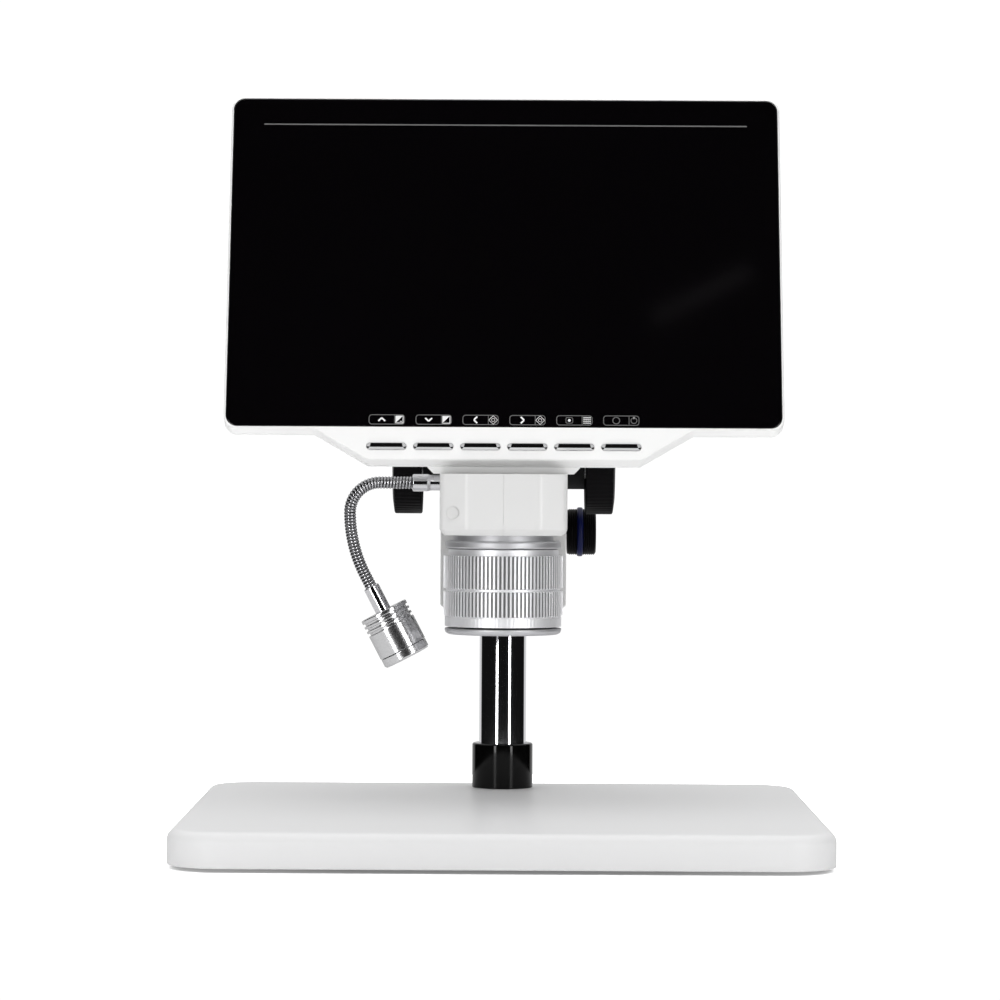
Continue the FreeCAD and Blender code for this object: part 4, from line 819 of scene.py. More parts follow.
@dataclass
class Knobs:
    """Focus knobs with straight flutes, and the clamp knob with its turned grooves."""

    focus_y: float = 64.0
    focus_z: float = 151.0
    inner: float = 34.0
    outer: float = 46.8
    radius: float = 19.0
    flutes: int = 60
    flute_depth: float = 0.35
    lock_y: float = 92.0
    lock_z: float = 124.2
    lock_start: float = 27.0
    lock_length: float = 12.4
    lock_radius: float = 9.85
    ring_low: float = 4.2
    ring_high: float = 6.9
    ring_radius: float = 10.5
    ring_seat: float = 8.4
    groove_pitch: float = 0.85
    groove_depth: float = 0.16

    def focus(self, bench: Bench) -> None:
        """Make both focus knobs.

        The section has a cupped inner face, the gripped barrel and an outer face that swells
        outwards. The barrel's radius loses depth (1 + cos(flutes a)) / 2.

        Args:
            bench: makes the pieces.
        """
        length = self.outer - self.inner
        dome = 1.2
        rim = length - dome
        profile = Surfaces.ring([
            Corner(3.9, 1.6), Corner(15.2, 1.6, 0.5), Corner(16.4, 0.0, 0.5),
            Corner(self.radius, 0.0, 0.8), Corner(self.radius, rim, 0.9),
            Corner(self.radius * 0.72, length - 0.45, 6.0), Corner(0.0, length), Corner(0.0, 8.0),
            Corner(3.9, 8.0)], 0, 5)
        profile[:, 0] = np.maximum(profile[:, 0], 0.0)
        angles = Surfaces.around(self.flutes * 6)
        grip = np.clip((profile[:, 0] - self.radius + 1.0) / 0.8, 0, 1)
        grip *= (profile[:, 1] > 0.9) & (profile[:, 1] < rim - 0.3)
        depth = self.flute_depth * (0.5 + 0.5 * np.cos(self.flutes * angles)) ** 2
        points = Surfaces.turned(profile, angles, grip[:, None] * depth[None])
        faces = Surfaces.stack_faces(*points.shape[:2], closed=True)
        for side, name in ((-1.0, "left"), (1.0, "right")):
            placed = Surfaces.lie(points, (side * self.inner, self.focus_y, self.focus_z), side)
            bench.piece("focus_grip_" + name, placed, faces, BLACK_PLASTIC, "focus",
                        ["focus_knob_" + name], "black_plastic")

    def clamp(self, bench: Bench) -> None:
        """Make the clamp knob, whose radius falls by a cosine wave along its length, and its ring.

        Args:
            bench: makes the pieces.
        """
        length, radius, seat = self.lock_length, self.lock_radius, self.ring_seat
        low, high = self.ring_low, self.ring_high

        def grooved(along: Array) -> Array:
            """Radius and height where the radius is less by depth (1 + cos(2 pi along / pitch))."""
            wave = 1 + np.cos(FULL_TURN * along / self.groove_pitch)
            return np.column_stack([radius - self.groove_depth * wave, along])

        profile = np.concatenate([
            np.array([[4.05, 0.0], [radius - 1.0, 0.0], [radius - 0.4, 0.3]]),
            grooved(np.linspace(0.9, low, 26)),
            np.array([[seat, low], [seat, high]]),
            grooved(np.linspace(high, length - 1.0, 34)),
            np.array([[radius - 0.4, length - 0.5], [radius - 1.2, length - 0.05], [5.0, length],
                      [4.6, length - 0.5], [0.0, length - 0.5], [0.0, length - 4], [4.05, length - 4]])])

        def aside(points: Array) -> Array:
            """Lay a turned piece along +X from the arm's boss."""
            return Surfaces.lie(points, (self.lock_start, self.lock_y, self.lock_z))

        points = aside(Surfaces.turned(profile, Surfaces.around(96)))
        bench.stacked("clamp_grip", points, BLACK_PLASTIC, "clamp", ["lock_knob"], "black_plastic",
                      closed=True)
        inner, outer = seat + 0.02, self.ring_radius
        bench.turned("clamp_blue_ring", [
            Corner(inner, low + 0.02), Corner(outer, low + 0.02, 0.9),
            Corner(outer, high - 0.02, 0.9), Corner(inner, high - 0.02)],
            RING_BLUE, "clamp", ["lock_ring"], "ring_blue", 96, aside, 6)


@dataclass
class Housing:
    """The white camera housing in two halves with a fine seam."""

    half: float = 25.35
    front: float = -27.5
    flat: float = 14.6
    slant: float = 4.8
    low: float = 124.3
    top: float = 148.7
    bevel: float = 2.2
    back: float = 30.0
    seam: float = 0.03
    plug_x: float = -20.1
    plug_z: float = 133.3
    well: float = 2.55
    well_end: float = -24.8
    smooth: float = 25.0

    def plug_well(self, bench: Bench, shell: bpy.types.Object) -> None:
        """Open the round well in which the screw plug shows: x = r cos a, z = -r sin a along Y.

        Args:
            bench: makes the cutter.
            shell: the left half.
        """
        angle = Surfaces.around(64)
        x = self.plug_x + self.well * np.cos(angle)
        z = self.plug_z - self.well * np.sin(angle)
        points = np.stack([np.column_stack([x, np.full_like(x, y), z])
                           for y in (self.front - 1, self.well_end)])
        bench.cut(shell, [bench.cutter(points)], self.smooth)
        bench.flatten(shell)

    def build(self, bench: Bench) -> None:
        """Make the halves.

        Both come from rings of the whole outline. A half keeps its own side of the seam because x
        is clipped at the seam's plane, and y is clipped at the flat back.

        Args:
            bench: makes the pieces.
        """
        outline = [
            Corner(-self.half, self.back + 6, 1.0), Corner(-self.half, self.front + self.slant, 3.4),
            Corner(-self.flat, self.front, 5.0), Corner(self.flat, self.front, 5.0),
            Corner(self.half, self.front + self.slant, 3.4), Corner(self.half, self.back + 6, 1.0)]
        soft = 0.5
        levels = [(self.bevel, 0.0), (self.bevel - 0.25, 0.08), (self.bevel - soft, 0.3),
                  (soft * 0.55, self.bevel - 0.35), (0.1, self.bevel + 0.05), (0.0, self.bevel + 0.5),
                  (0.0, self.top - self.low)]
        for side, name in ((-1.0, "left"), (1.0, "right")):
            rows = []
            for inset, rise in levels:
                ring = Surfaces.ring(outline, inset, 7)
                x = side * np.maximum(side * ring[:, 0], self.seam)
                y = np.minimum(ring[:, 1], self.back)
                rows.append(np.column_stack([x, y, np.full(len(ring), self.low + rise)]))
            # The halves carry the darker white, part of which is painted shade.
            shell = bench.stacked("camera_shell_" + name, np.stack(rows), SHADED_SHELL_WHITE, "head",
                                  ["housing_" + name], "white_shell", self.smooth)
            if side < 0:
                self.plug_well(bench, shell)
        # Painted light: the plinth's brighter white lifts the shade under the chin.
        bench.softened("screen_plinth", "head_plinth", 0.5, LIT_PLINTH_WHITE, "head", "white_shell")
        # The slide plate shares the darker white with its painted shade.
        bench.softened("slide_plate", "carriage", 0.5, SHADED_SHELL_WHITE, "head", "white_shell")


@dataclass
class Lens:
    """The silver lens: mount, ribbed turning ring and end ring."""

    ribs: int = 90
    grip_radius: float = 24.0
    band_radius: float = 23.45
    lower_ribs: tuple[float, float] = (91.9, 101.6)
    upper_ribs: tuple[float, float] = (103.0, 115.9)

    def build(self, bench: Bench) -> None:
        """Make the lens pieces.

        The turning ring's radius loses the rib's wave wherever the section stands above the plain
        band. The wave is a trapezoid in the angle: crest, flank, groove, flank.

        Args:
            bench: makes the pieces.
        """
        bench.turned("lens_mount_ring", [
            Corner(17.5, 118.9), Corner(22.9, 118.9, 0.3), Corner(23.2, 119.5, 0.3),
            Corner(23.2, 121.2, 0.3), Corner(22.7, 121.8, 0.3), Corner(20.2, 121.8, 0.15),
            Corner(20.2, 126.68), Corner(22, 126.68), Corner(22, 128.7), Corner(17.5, 128.7)],
            SILVER, "head", ["lens_mount"], "lens_silver", 144, steps=3)
        bench.turned("lens_end_ring", [
            Corner(13.5, 84.4, 0.1), Corner(21.9, 84.4, 0.3), Corner(23.0, 85.0, 0.4),
            Corner(23.45, 86.0, 0.4), Corner(23.45, 86.8, 0.15), Corner(17.52, 86.8),
            Corner(17.52, 85.42), Corner(13.5, 85.42, 0.1)],
            SILVER, "head", ["end_ring"], "lens_silver", 144, steps=3)
        band, grip = self.band_radius, self.grip_radius
        section = [
            Corner(17.56, 87.6), Corner(band, 87.6, 0.2), Corner(band, 91.2, 0.1),
            Corner(band - 0.25, 91.4, 0.05), Corner(band - 0.25, 91.7, 0.05),
            Corner(grip, self.lower_ribs[0], 0.15), Corner(grip, self.lower_ribs[1], 0.2),
            Corner(band - 0.3, 101.9, 0.1), Corner(band - 0.3, 102.7, 0.1),
            Corner(grip, self.upper_ribs[0], 0.2), Corner(grip, self.upper_ribs[1], 0.2),
            Corner(band, 116.1, 0.1), Corner(22.2, 116.1, 0.1), Corner(22.2, 118.6, 0.3),
            Corner(17.56, 118.6)]
        profile = Surfaces.ring(section, 0, 3)
        phase = np.array([0.0, 0.13, 0.55, 0.68])
        angles = ((np.arange(self.ribs)[:, None] + phase) * FULL_TURN / self.ribs).ravel()
        wave = np.tile([1.0, 0.0, 0.0, 1.0], self.ribs)
        depth = np.clip(profile[:, 0] - (band - 0.05), 0, None)
        points = Surfaces.turned(profile, angles, depth[:, None] * wave[None])
        ring = bench.stacked("lens_turning_ring", points, RIBBED_SILVER, "lens_turn", ["focus_ring"],
                             "lens_silver", 20.0, closed=True)

        def shade_between_ribs(spots: Array) -> Array:
            """One at the bottom of the grooves between the ribs and zero elsewhere: where painted shade
            darkens the ring.

            Args:
                spots: points as (count, 3).

            Returns:
                One value for each point.
            """
            deep = np.hypot(spots[:, 0], spots[:, 1]) < grip - 0.4
            ribbed = [(spots[:, 2] > low - 0.05) & (spots[:, 2] < high + 0.05)
                      for low, high in (self.lower_ribs, self.upper_ribs)]
            return deep & (ribbed[0] | ribbed[1])

        # Painted shade in the grooves between the ribs.
        bench.painted_groove_shade(ring, shade_between_ribs)


@dataclass
class NeckLamp:
    """The gooseneck with its ferrules and the lamp head at its end."""

    start_x: float = -36.9
    plane_y: float = 6.0
    start_z: float = 145.0
    straight: float = 13.1
    bend: float = 12.0
    sweep: float = 55.0
    tail: float = 5.0
    angle: float = math.radians(27.5)
    crest: float = 2.5
    root: float = 2.1
    turns: int = 50
    split: float = 32.0
    soft_end: float = 22.0
    wall_x: float = -25.35

    def path(self, distance: Array) -> tuple[Array, Array]:
        """Centres and headings along the neck.

        A straight run along -X, a quarter circle down, a long arc back inwards, and a straight
        tail. On an arc the point is centre + radius (cos, sin) of distance / radius.

        Args:
            distance: distances from the upper ferrule.

        Returns:
            Points and unit headings, each (stations, 3).
        """
        quarter = self.bend * math.pi / 2
        first, second = self.straight, self.straight + quarter
        third = second + self.sweep * self.angle
        a = np.clip((distance - first) / self.bend, 0, math.pi / 2)
        b = np.clip((distance - second) / self.sweep, 0, self.angle)
        run = np.clip(distance, 0, first)
        rest = np.clip(distance - third, 0, None)
        x = (self.start_x - run - self.bend * np.sin(a) + self.sweep * (1 - np.cos(b))
             + rest * math.sin(self.angle))
        z = (self.start_z - self.bend * (1 - np.cos(a)) - self.sweep * np.sin(b)
             - rest * math.cos(self.angle))
        turned = a + b
        heading = np.stack([-np.cos(turned), np.zeros_like(turned), -np.sin(turned)], axis=1)
        heading = np.where((b > 0)[:, None], np.stack(
            [np.sin(b), np.zeros_like(b), -np.cos(b)], axis=1), heading)
        return np.stack([x, np.full_like(x, self.plane_y), z], axis=1), heading

    def depth(self, spots: Array) -> Array:
        """How deep in the groove of the winding each point lies, 0 on the ridge and 1 at the root: the mask
        of painted shade between the turns.

        Distance from the path = sqrt(nearest distance in the path's plane squared + y squared).

        Args:
            spots: points as (count, 3).

        Returns:
            One value for each point.
        """
        centres, _ = self.path(np.linspace(0, self.length, 800))
        in_plane = ((spots[:, None, 0] - centres[None, :, 0]) ** 2
                    + (spots[:, None, 2] - centres[None, :, 2]) ** 2).min(axis=1)
        away = np.sqrt(in_plane + (spots[:, 1] - self.plane_y) ** 2)
        return np.clip((self.crest - away) / (self.crest - self.root) * 1.5, 0, 1)

    @property
    def length(self) -> float:
        """Length of the neck from ferrule to ferrule."""
        return self.straight + self.bend * math.pi / 2 + self.sweep * self.angle + self.tail

    def wound(self, start: float, end: float) -> Array:
        """The wound surface between two distances.

        The radius rises and falls with a phase of distance / pitch + angle / (2 pi), so that the
        ridge is one unbroken helix.

        Args:
            start: first distance.
            end: last distance.

        Returns:
            Points as (stations, sides, 3).
        """
        sides = 28
        pitch = self.length / self.turns
        stations = int((end - start) / pitch * 9) + 2
        distance = np.linspace(start, end, stations)
        centres, heading = self.path(distance)
        angle = np.linspace(0, 1, sides, endpoint=False)
        phase = distance[:, None] / pitch + angle[None]
        ridge = np.abs(np.sin(math.pi * phase)) ** 0.8
        radius = self.root + (self.crest - self.root) * ridge
        return Surfaces.tube(centres, heading, radius, sides)

    def hang(self, points: Array) -> Array:
        """Put a piece turned about Z below the neck's end, on the lamp's leaning axis.

        x = x cos t - z sin t, z = x sin t + z cos t, then moved to the end of the neck.

        Args:
            points: any array whose last axis is x, y, z.

        Returns:
            The same array in place.
        """
        end, _ = self.path(np.array([self.length]))
        c, s = math.cos(self.angle), math.sin(self.angle)
        x, y, z = points[..., 0], points[..., 1], points[..., 2]
        leaning = np.stack([x * c - z * s, y, x * s + z * c], axis=-1)
        return leaning + end[0]

    def build(self, bench: Bench) -> None:
        """Make the ferrules, the neck in its two bending lengths, and the lamp head.

        Args:
            bench: makes the pieces.
        """
        reach = self.wall_x - self.start_x

        def sideways(points: Array) -> Array:
            """Lay a turned piece along -X from the housing's side."""
            return Surfaces.lie(points, (self.wall_x, self.plane_y, self.start_z), -1.0)

        bench.turned("neck_upper_ferrule", [
            Corner(0, 0.0), Corner(3.15, 0.0, 0.1), Corner(3.15, 4.2, 0.3), Corner(3.5, 5.4, 0.3),
            Corner(3.5, reach - 0.2, 0.6), Corner(2.2, reach, 0.3), Corner(0, reach)],
            FERRULE_CHROME, "head", ["lamp_socket"], "post_chrome", 72, sideways)
        neck = bench.stacked("gooseneck_upper", self.wound(0.0, self.split), NECK_CHROME, None,
                             ["gooseneck"], "post_chrome", 60.0)
        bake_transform(neck, "head", "neck", start=(-0.0369, 0.006, 0.145), end=(-0.050, 0.006, 0.145))
        tail = bench.stacked("gooseneck_lower", self.wound(self.split, self.length), NECK_CHROME, None,
                             ["gooseneck"], "post_chrome", 60.0)
        # Painted shade between the turns of the winding.
        for item in (neck, tail):
            bench.painted_groove_shade(item, self.depth)
        ends, _ = self.path(np.array([self.length - self.soft_end, self.length]))
        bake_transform(tail, "neck", "lamp", start=tuple(ends[0] * MM), end=tuple(ends[1] * MM))
        bench.turned("neck_lower_ferrule", [
            Corner(0, -11), Corner(3.25, -11), Corner(3.25, -0.3, 0.5), Corner(2.2, 0.0, 0.2), Corner(0, 0)],
            FERRULE_CHROME, "lamp", ["lamp_ferrule"], "post_chrome", 72, self.hang)
        silver = Finish("lamp_silver", (0.78, 0.78, 0.79), 0.20, Grain.TURNED, 1.0, 0.00022, 0.04, 0.03,
                        0.0, edge=0.7, centre=tuple(ends[1]), turn=(0.0, -self.angle, 0.0))
        section = [Corner(0, -28.38), Corner(8.4, -28.38), Corner(10, -28.38, 0.1)]
        for middle in (-17.4, -15.3, -13.2):
            section += [Corner(10, middle - 0.55, 0.2), Corner(9.1, middle - 0.45, 0.1),
                        Corner(9.1, middle + 0.45, 0.1), Corner(10, middle + 0.55, 0.2)]
        section += [Corner(10, -11, 0.5), Corner(0, -11)]
        bench.turned("lamp_shell", section, silver, "lamp", ["lamp_body"], "lens_silver", 112, self.hang, 4)
        bench.turned("lamp_front_ring", [
            Corner(7.4, -32.4, 0.1), Corner(9.2, -32.4, 0.3), Corner(9.85, -31.6, 0.3),
            Corner(9.85, -28.6, 0.25), Corner(7.4, -28.42)],
            silver, "lamp", ["lamp_ring"], "lens_silver", 112, self.hang, 4)


@dataclass
class Screen:
    """The screen case: frame with its chin, glass, buttons and the printed signs."""

    half: float = 111.0
    height: float = 140.4
    rim: float = 0.9
    chin: float = 13.8
    chin_top: float = 75.9
    chin_low: float = 54.4
    depth: float = 8.0
    glass_corner: float = 4.7
    glass_thick: float = 1.9
    pitch: float = 18.7
    button_up: float = -8.2
    button_half: float = 7.9
    gap: float = 0.12
    panel_room: tuple[float, float, float, float] = (-105.5, 105.5, 9.2, 135.2)
    chin_room: tuple[float, float, float, float] = (-56.1, 56.1, -11.8, 10.2)
    # Where the painted glint along the panel's top edge lies.
    painted_edge_glint: tuple[float, float, float, float] = (-98.5, 98.5, 128.95, 129.5)

    def slab(self, corners: Sequence[Corner], levels: Sequence[tuple[float, float]],
             steps: int = 8) -> Array:
        """Rings of an outline on the screen.

        Args:
            corners: the outline.
            levels: pairs of inset and depth behind the glass.
            steps: arc steps at each corner.

        Returns:
            Points as (levels, columns, 3).
        """
        rows = []
        for inset, depth in levels:
            ring = Surfaces.ring(corners, inset, steps)
            rows.append(np.column_stack([ring[:, 0], np.full(len(ring), depth), ring[:, 1]]))
        return Surfaces.lean(np.stack(rows))

    def case_corners(self) -> list[Corner]:
        """The case outline: a rectangle with the chin's trapezoid below.

        Returns:
            Its corners, anticlockwise.
        """
        side = self.half + self.rim
        top = self.height + self.rim
        return [Corner(-side, -self.rim, 4.8), Corner(-self.chin_top, -self.rim, 6.0),
                Corner(-self.chin_low, -self.chin, 4.5), Corner(self.chin_low, -self.chin, 4.5),
                Corner(self.chin_top, -self.rim, 6.0), Corner(side, -self.rim, 4.8),
                Corner(side, top, 5.6), Corner(-side, top, 5.6)]

    def block(self, bench: Bench, corners: Sequence[Corner], front: float, back: float) -> bpy.types.Object:
        """A block of an outline between two depths, to be cut out of the frame."""
        return bench.cutter(self.slab(corners, [(0.0, front), (0.0, back)]))

    def frame_piece(self, bench: Bench) -> None:
        """Make the frame: rounded rings front and back, less the glass seat, panel room and slots.

        Args:
            bench: makes the pieces.
        """
        rear = Surfaces.edge_rounding(0.4, 3)
        levels = Surfaces.edge_rounding(0.7, 5)
        levels += [(inset, self.depth - depth) for inset, depth in reversed(rear)]
        case = bench.stacked("screen_frame", self.slab(self.case_corners(), levels, 10), WHITE, "head",
                             ["front_frame"], "white_shell", 30.0)
        side = self.half + self.gap
        seat = Surfaces.rectangle(-side, side, -self.gap, self.height + self.gap, self.glass_corner)
        behind = self.depth + 1
        cutters = [self.block(bench, seat, -1.0, self.glass_thick + 0.02),
                   self.block(bench, Surfaces.rectangle(*self.panel_room, 0.5), 1.0, behind),
                   self.block(bench, Surfaces.rectangle(*self.chin_room, 0.5), 2.5, behind)]
        for i in range(6):
            x = self.pitch * (i - 2.5)
            reach = self.button_half + 0.15
            low, high = self.button_up - 1.5, self.button_up + 1.5
            slot = Surfaces.rectangle(x - reach, x + reach, low, high, 1.48)
            cutters.append(self.block(bench, slot, -1.0, 3.5))
        bench.cut(case, cutters, 30.0)
        bench.ease(case, 0.18, 2, 50)
        bench.flatten(case)

    def glass(self, bench: Bench) -> None:
        """Make the black glass with eased edges, and a thin grey strip on it along the top edge of the panel
        behind it: a painted glint of that edge.

        Args:
            bench: makes the pieces.
        """
        corners = Surfaces.rectangle(-self.half, self.half, 0.0, self.height, self.glass_corner)
        levels = Surfaces.edge_rounding(0.45, 4) + [(0.0, self.glass_thick)]
        bench.stacked("display_glass", self.slab(corners, levels, 10), GLASS_BLACK, "head",
                      ["screen_glass"], "glass_black", 30.0)
        # Painted highlight: the glint of the panel's top edge.
        line = Surfaces.rectangle(*self.painted_edge_glint, 0.1)
        bench.stacked("panel_edge_glint", self.slab(line, [(0.0, -0.02), (0.0, 0.3)], 2), GLINT_GREY, "head")

    def buttons(self, bench: Bench) -> None:
        """Make the six bar buttons.

        Each is a stack of rings from a round-ended bar to a smaller flat face that lies high on
        it, so that the lower side and both ends slope away.

        Args:
            bench: makes the pieces.
        """
        for i, name in enumerate(["up", "down", "left", "right", "menu", "power"]):
            x = self.pitch * (i - 2.5)
            up = self.button_up
            half = self.button_half
            bar = Surfaces.rectangle(x - half, x + half, up - 1.35, up + 1.35, 1.34)
            flange = Surfaces.rectangle(x - half - 0.8, x + half + 0.8, up - 2.05, up + 2.05, 2.04)
            face = [Corner(x - half + 1.2, up - 0.6, 0.12), Corner(x + half - 1.2, up - 0.6, 0.12),
                    Corner(x + half - 1.65, up + 1.14, 0.12), Corner(x - half + 1.65, up + 1.14, 0.12)]
            rows = [self.slab(flange, [(0.0, 3.6), (0.0, 2.82)]),
                    self.slab(bar, [(0.0, 2.82), (0.0, 0.1), (0.06, -0.05)]),
                    self.slab(face, [(0.0, -0.76), (0.06, -0.8)])]
            bench.stacked("key_" + name, np.concatenate(rows), BUTTON, "button_" + name,
                          ["button_" + name], "button_chrome", 25.0)

    def build(self, bench: Bench) -> None:
        """Make the whole screen.

        Args:
            bench: makes the pieces.
        """
        self.frame_piece(bench)
        self.glass(bench)
        self.buttons(bench)
        bench.softened("screen_back_cover", "rear_cover", 0.3, WHITE, "head", "white_shell")


@dataclass
class Signs:
    """Generic signs printed over the buttons: arrows, halves, dots, a grid and rings."""

    up: float = 2.95
    pitch: float = 18.7
    half_width: float = 7.2
    half_height: float = 2.1
    divider: float = 3.1
    proud: float = 0.02

    def __post_init__(self) -> None:
        """Start with empty lists of flat shapes."""
        self.white: list[tuple[Array, Array]] = []
        self.grey: list[tuple[Array, Array]] = []

    @staticmethod
    def bar(x0: float, y0: float, x1: float, y1: float, width: float) -> tuple[Array, Array]:
        """Two rails of a straight stroke: its ends moved to both sides by half its width.

        Args:
            x0: where the line starts.
            y0: how high it starts.
            x1: where it ends.
            y1: how high it ends.
            width: the stroke's width.

        Returns:
            The two rails, as (2, 2) each.
        """
        a, b = np.array([x0, y0]), np.array([x1, y1])
        along = (b - a) / np.linalg.norm(b - a)
        side = np.array([-along[1], along[0]]) * width / 2
        return np.array([a - side, b - side]), np.array([a + side, b + side])

    @staticmethod
    def loop(corners: Sequence[Corner], width: float, steps: int = 6) -> tuple[Array, Array]:
        """Two rails of a closed stroke: an outline, and the same outline drawn in by the width.

        Args:
            corners: the outline.
            width: the stroke's width.
            steps: arc steps at each corner.

        Returns:
            The two rails, whose last point is their first.
        """
        outer = Surfaces.ring(corners, 0.0, steps)
        inner = Surfaces.ring(corners, width, steps)
        return np.vstack([outer, outer[:1]]), np.vstack([inner, inner[:1]])

    @staticmethod
    def circle(x: float, y: float, radius: float, width: float) -> tuple[Array, Array]:
        """Two rails of a ring: centre + radius (cos a, sin a), and the same less the width.

        Args:
            x: its centre.
            y: its centre's height.
            radius: its outer radius.
            width: the stroke's width.

        Returns:
            The two rails.
        """
        a = np.linspace(0, FULL_TURN, 29)
        ray = np.stack([np.cos(a), np.sin(a)], axis=1)
        centre = np.array([x, y])
        return centre + ray * radius, centre + ray * (radius - width)

    def chevron(self, x: float, y: float, turn: float) -> None:
        """Add a bold arrow head.

        Args:
            x: its middle.
            y: its middle's height.
            turn: degrees that it is turned from pointing up.
        """
        c, s = math.cos(math.radians(turn)), math.sin(math.radians(turn))
        spots = [(-1.35, -0.65), (0.0, 0.65), (1.35, -0.65)]
        turned = [(x + a * c - b * s, y + a * s + b * c) for a, b in spots]
        self.white.append(self.bar(*turned[0], *turned[1], 0.62))
        self.white.append(self.bar(*turned[1], *turned[2], 0.62))

    def draw(self) -> None:
        """Lay out the six framed signs."""
        y = self.up
        for i in range(6):
            x = self.pitch * (i - 2.5)
            left, right = x - self.half_width, x + self.half_width
            low, high = y - self.half_height, y + self.half_height
            self.grey.append(self.loop(Surfaces.rectangle(left, right, low, high, 1.3), 0.3))
            self.grey.append(self.bar(x + self.divider, low + 0.15, x + self.divider, high - 0.15, 0.25))
            sign, extra = x - 2.0, x + 5.05
            if i < 4:
                self.chevron(sign, y, (0, 180, 90, -90)[i])
            if i < 2:
                self.white.append(self.loop(Surfaces.rectangle(
                    extra - 1.6, extra + 1.6, y - 1.6, y + 1.6, 0.1), 0.28, 1))
                fall = np.array([[extra - 1.5, y - 1.3], [extra - 1.5, y + 1.5]])
                rise = np.array([[extra - 1.45, y - 1.3], [extra + 1.3, y + 1.5]])
                self.white.append((fall, rise))
                if i == 0:
                    self.white.append(self.bar(extra + 0.2, y - 0.8, extra + 1.0, y - 0.8, 0.25))
            elif i < 4:
                diamond = [Corner(extra, y - 1.9, 0.2), Corner(extra + 1.9, y, 0.3),
                           Corner(extra, y + 1.9, 0.2), Corner(extra - 1.9, y, 0.3)]
                self.white.append(self.loop(diamond, 0.17))
                self.white.append(self.circle(extra, y, 0.75, 0.17))
            elif i == 4:
                self.grey.append(self.loop(Surfaces.rectangle(
                    sign - 1.5, sign + 1.5, y - 1.3, y + 1.3, 0.7), 0.28))
                self.white.append(self.circle(sign, y, 0.55, 0.5))
                for k in range(4):
                    shift = -1.2 + 0.8 * k
                    self.white.append(self.bar(extra - 1.5, y + shift, extra + 1.5, y + shift, 0.16))
                    self.white.append(self.bar(extra + shift, y - 1.5, extra + shift, y + 1.5, 0.16))
            else:
                self.grey.append(self.circle(sign, y, 1.55, 0.34))
                self.grey.append(self.circle(extra, y, 1.35, 0.34))
                self.white.append(self.bar(extra, y + 0.8, extra, y + 1.6, 0.25))

    def sheets(self, strokes: Sequence[tuple[Array, Array]]) -> tuple[Array, list]:
        """Thin plates between pairs of rails.

        Args:
            strokes: pairs of rails with as many points on each.

        Returns:
            Points in place and faces of closed plates.
        """
        points: list[Array] = []
        faces: list[tuple[int, ...]] = []
        base = 0
        for one, two in strokes:
            count = len(one)
            flat = np.concatenate([one, two])
            for depth in (-self.proud, 0.05):
                points.append(np.column_stack([flat[:, 0], np.full(2 * count, depth), flat[:, 1]]))
            for k in range(count - 1):
                a, b, c, d = base + k, base + k + 1, base + count + k + 1, base + count + k
                lower = 2 * count
                faces += [(a, b, c, d), (a + lower, d + lower, c + lower, b + lower),
                          (a, a + lower, b + lower, b), (d, c, c + lower, d + lower)]
            for k in (0, count - 1):
                a, d = base + k, base + count + k
                faces.append((a, d, d + 2 * count, a + 2 * count))
            base += 4 * count
        return Surfaces.lean(np.concatenate(points)), faces

    def build(self, bench: Bench) -> None:
        """Make one piece for the bold signs and one for the fine lines.

        Args:
            bench: makes the pieces.
        """
        self.draw()
        for name, strokes, finish in (("signs_bold", self.white, MARK_WHITE),
                                      ("signs_fine", self.grey, MARK_GREY)):
            points, faces = self.sheets(strokes)
            bench.piece(name, points, faces, finish, "head")


class CarriedNodes:
    """Gives each node that keeps its own mesh a finish."""

    FINISHES = {
        "base_plate": PLATE, "base_screws": STEEL, "post_plug": STEEL, "post_bolt": STEEL,
        "post_bush": BLACK_PLASTIC, "lock_pad": BRASS, "lock_stud": STEEL, "focus_shaft": STEEL,
        "focus_pinion": BRASS, "rack": BRASS, "screw_plug": PLUG_WHITE, "housing_screws": STEEL,
        "plinth_screws": STEEL, "lcd_panel": GLASS_BLACK, "cover_screws": STEEL, "main_board": BOARD,
        "port_sockets": STEEL, "button_board": BOARD, "tact_switches": BLACK_PLASTIC,
        "lens_barrel": LENS_BLACK, "led_window": CLEAR, "led_board": BOARD, "led_lights": LED,
        "sensor_board": BOARD, "lens_cell": LENS_BLACK, "lens_elements": CLEAR, "lamp_lens": CLEAR,
        "lamp_board": BOARD,
    }

    @classmethod
    def dress(cls, finishes: Finishes) -> None:
        """Assign the materials.

        Args:
            finishes: makes the materials.
        """
        for name, finish in cls.FINISHES.items():
            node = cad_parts[name]
            node.data.materials.clear()
            node.data.materials.append(finishes.material(finish))
            LOG.info("%s: carried over in %s", name, finish.name)


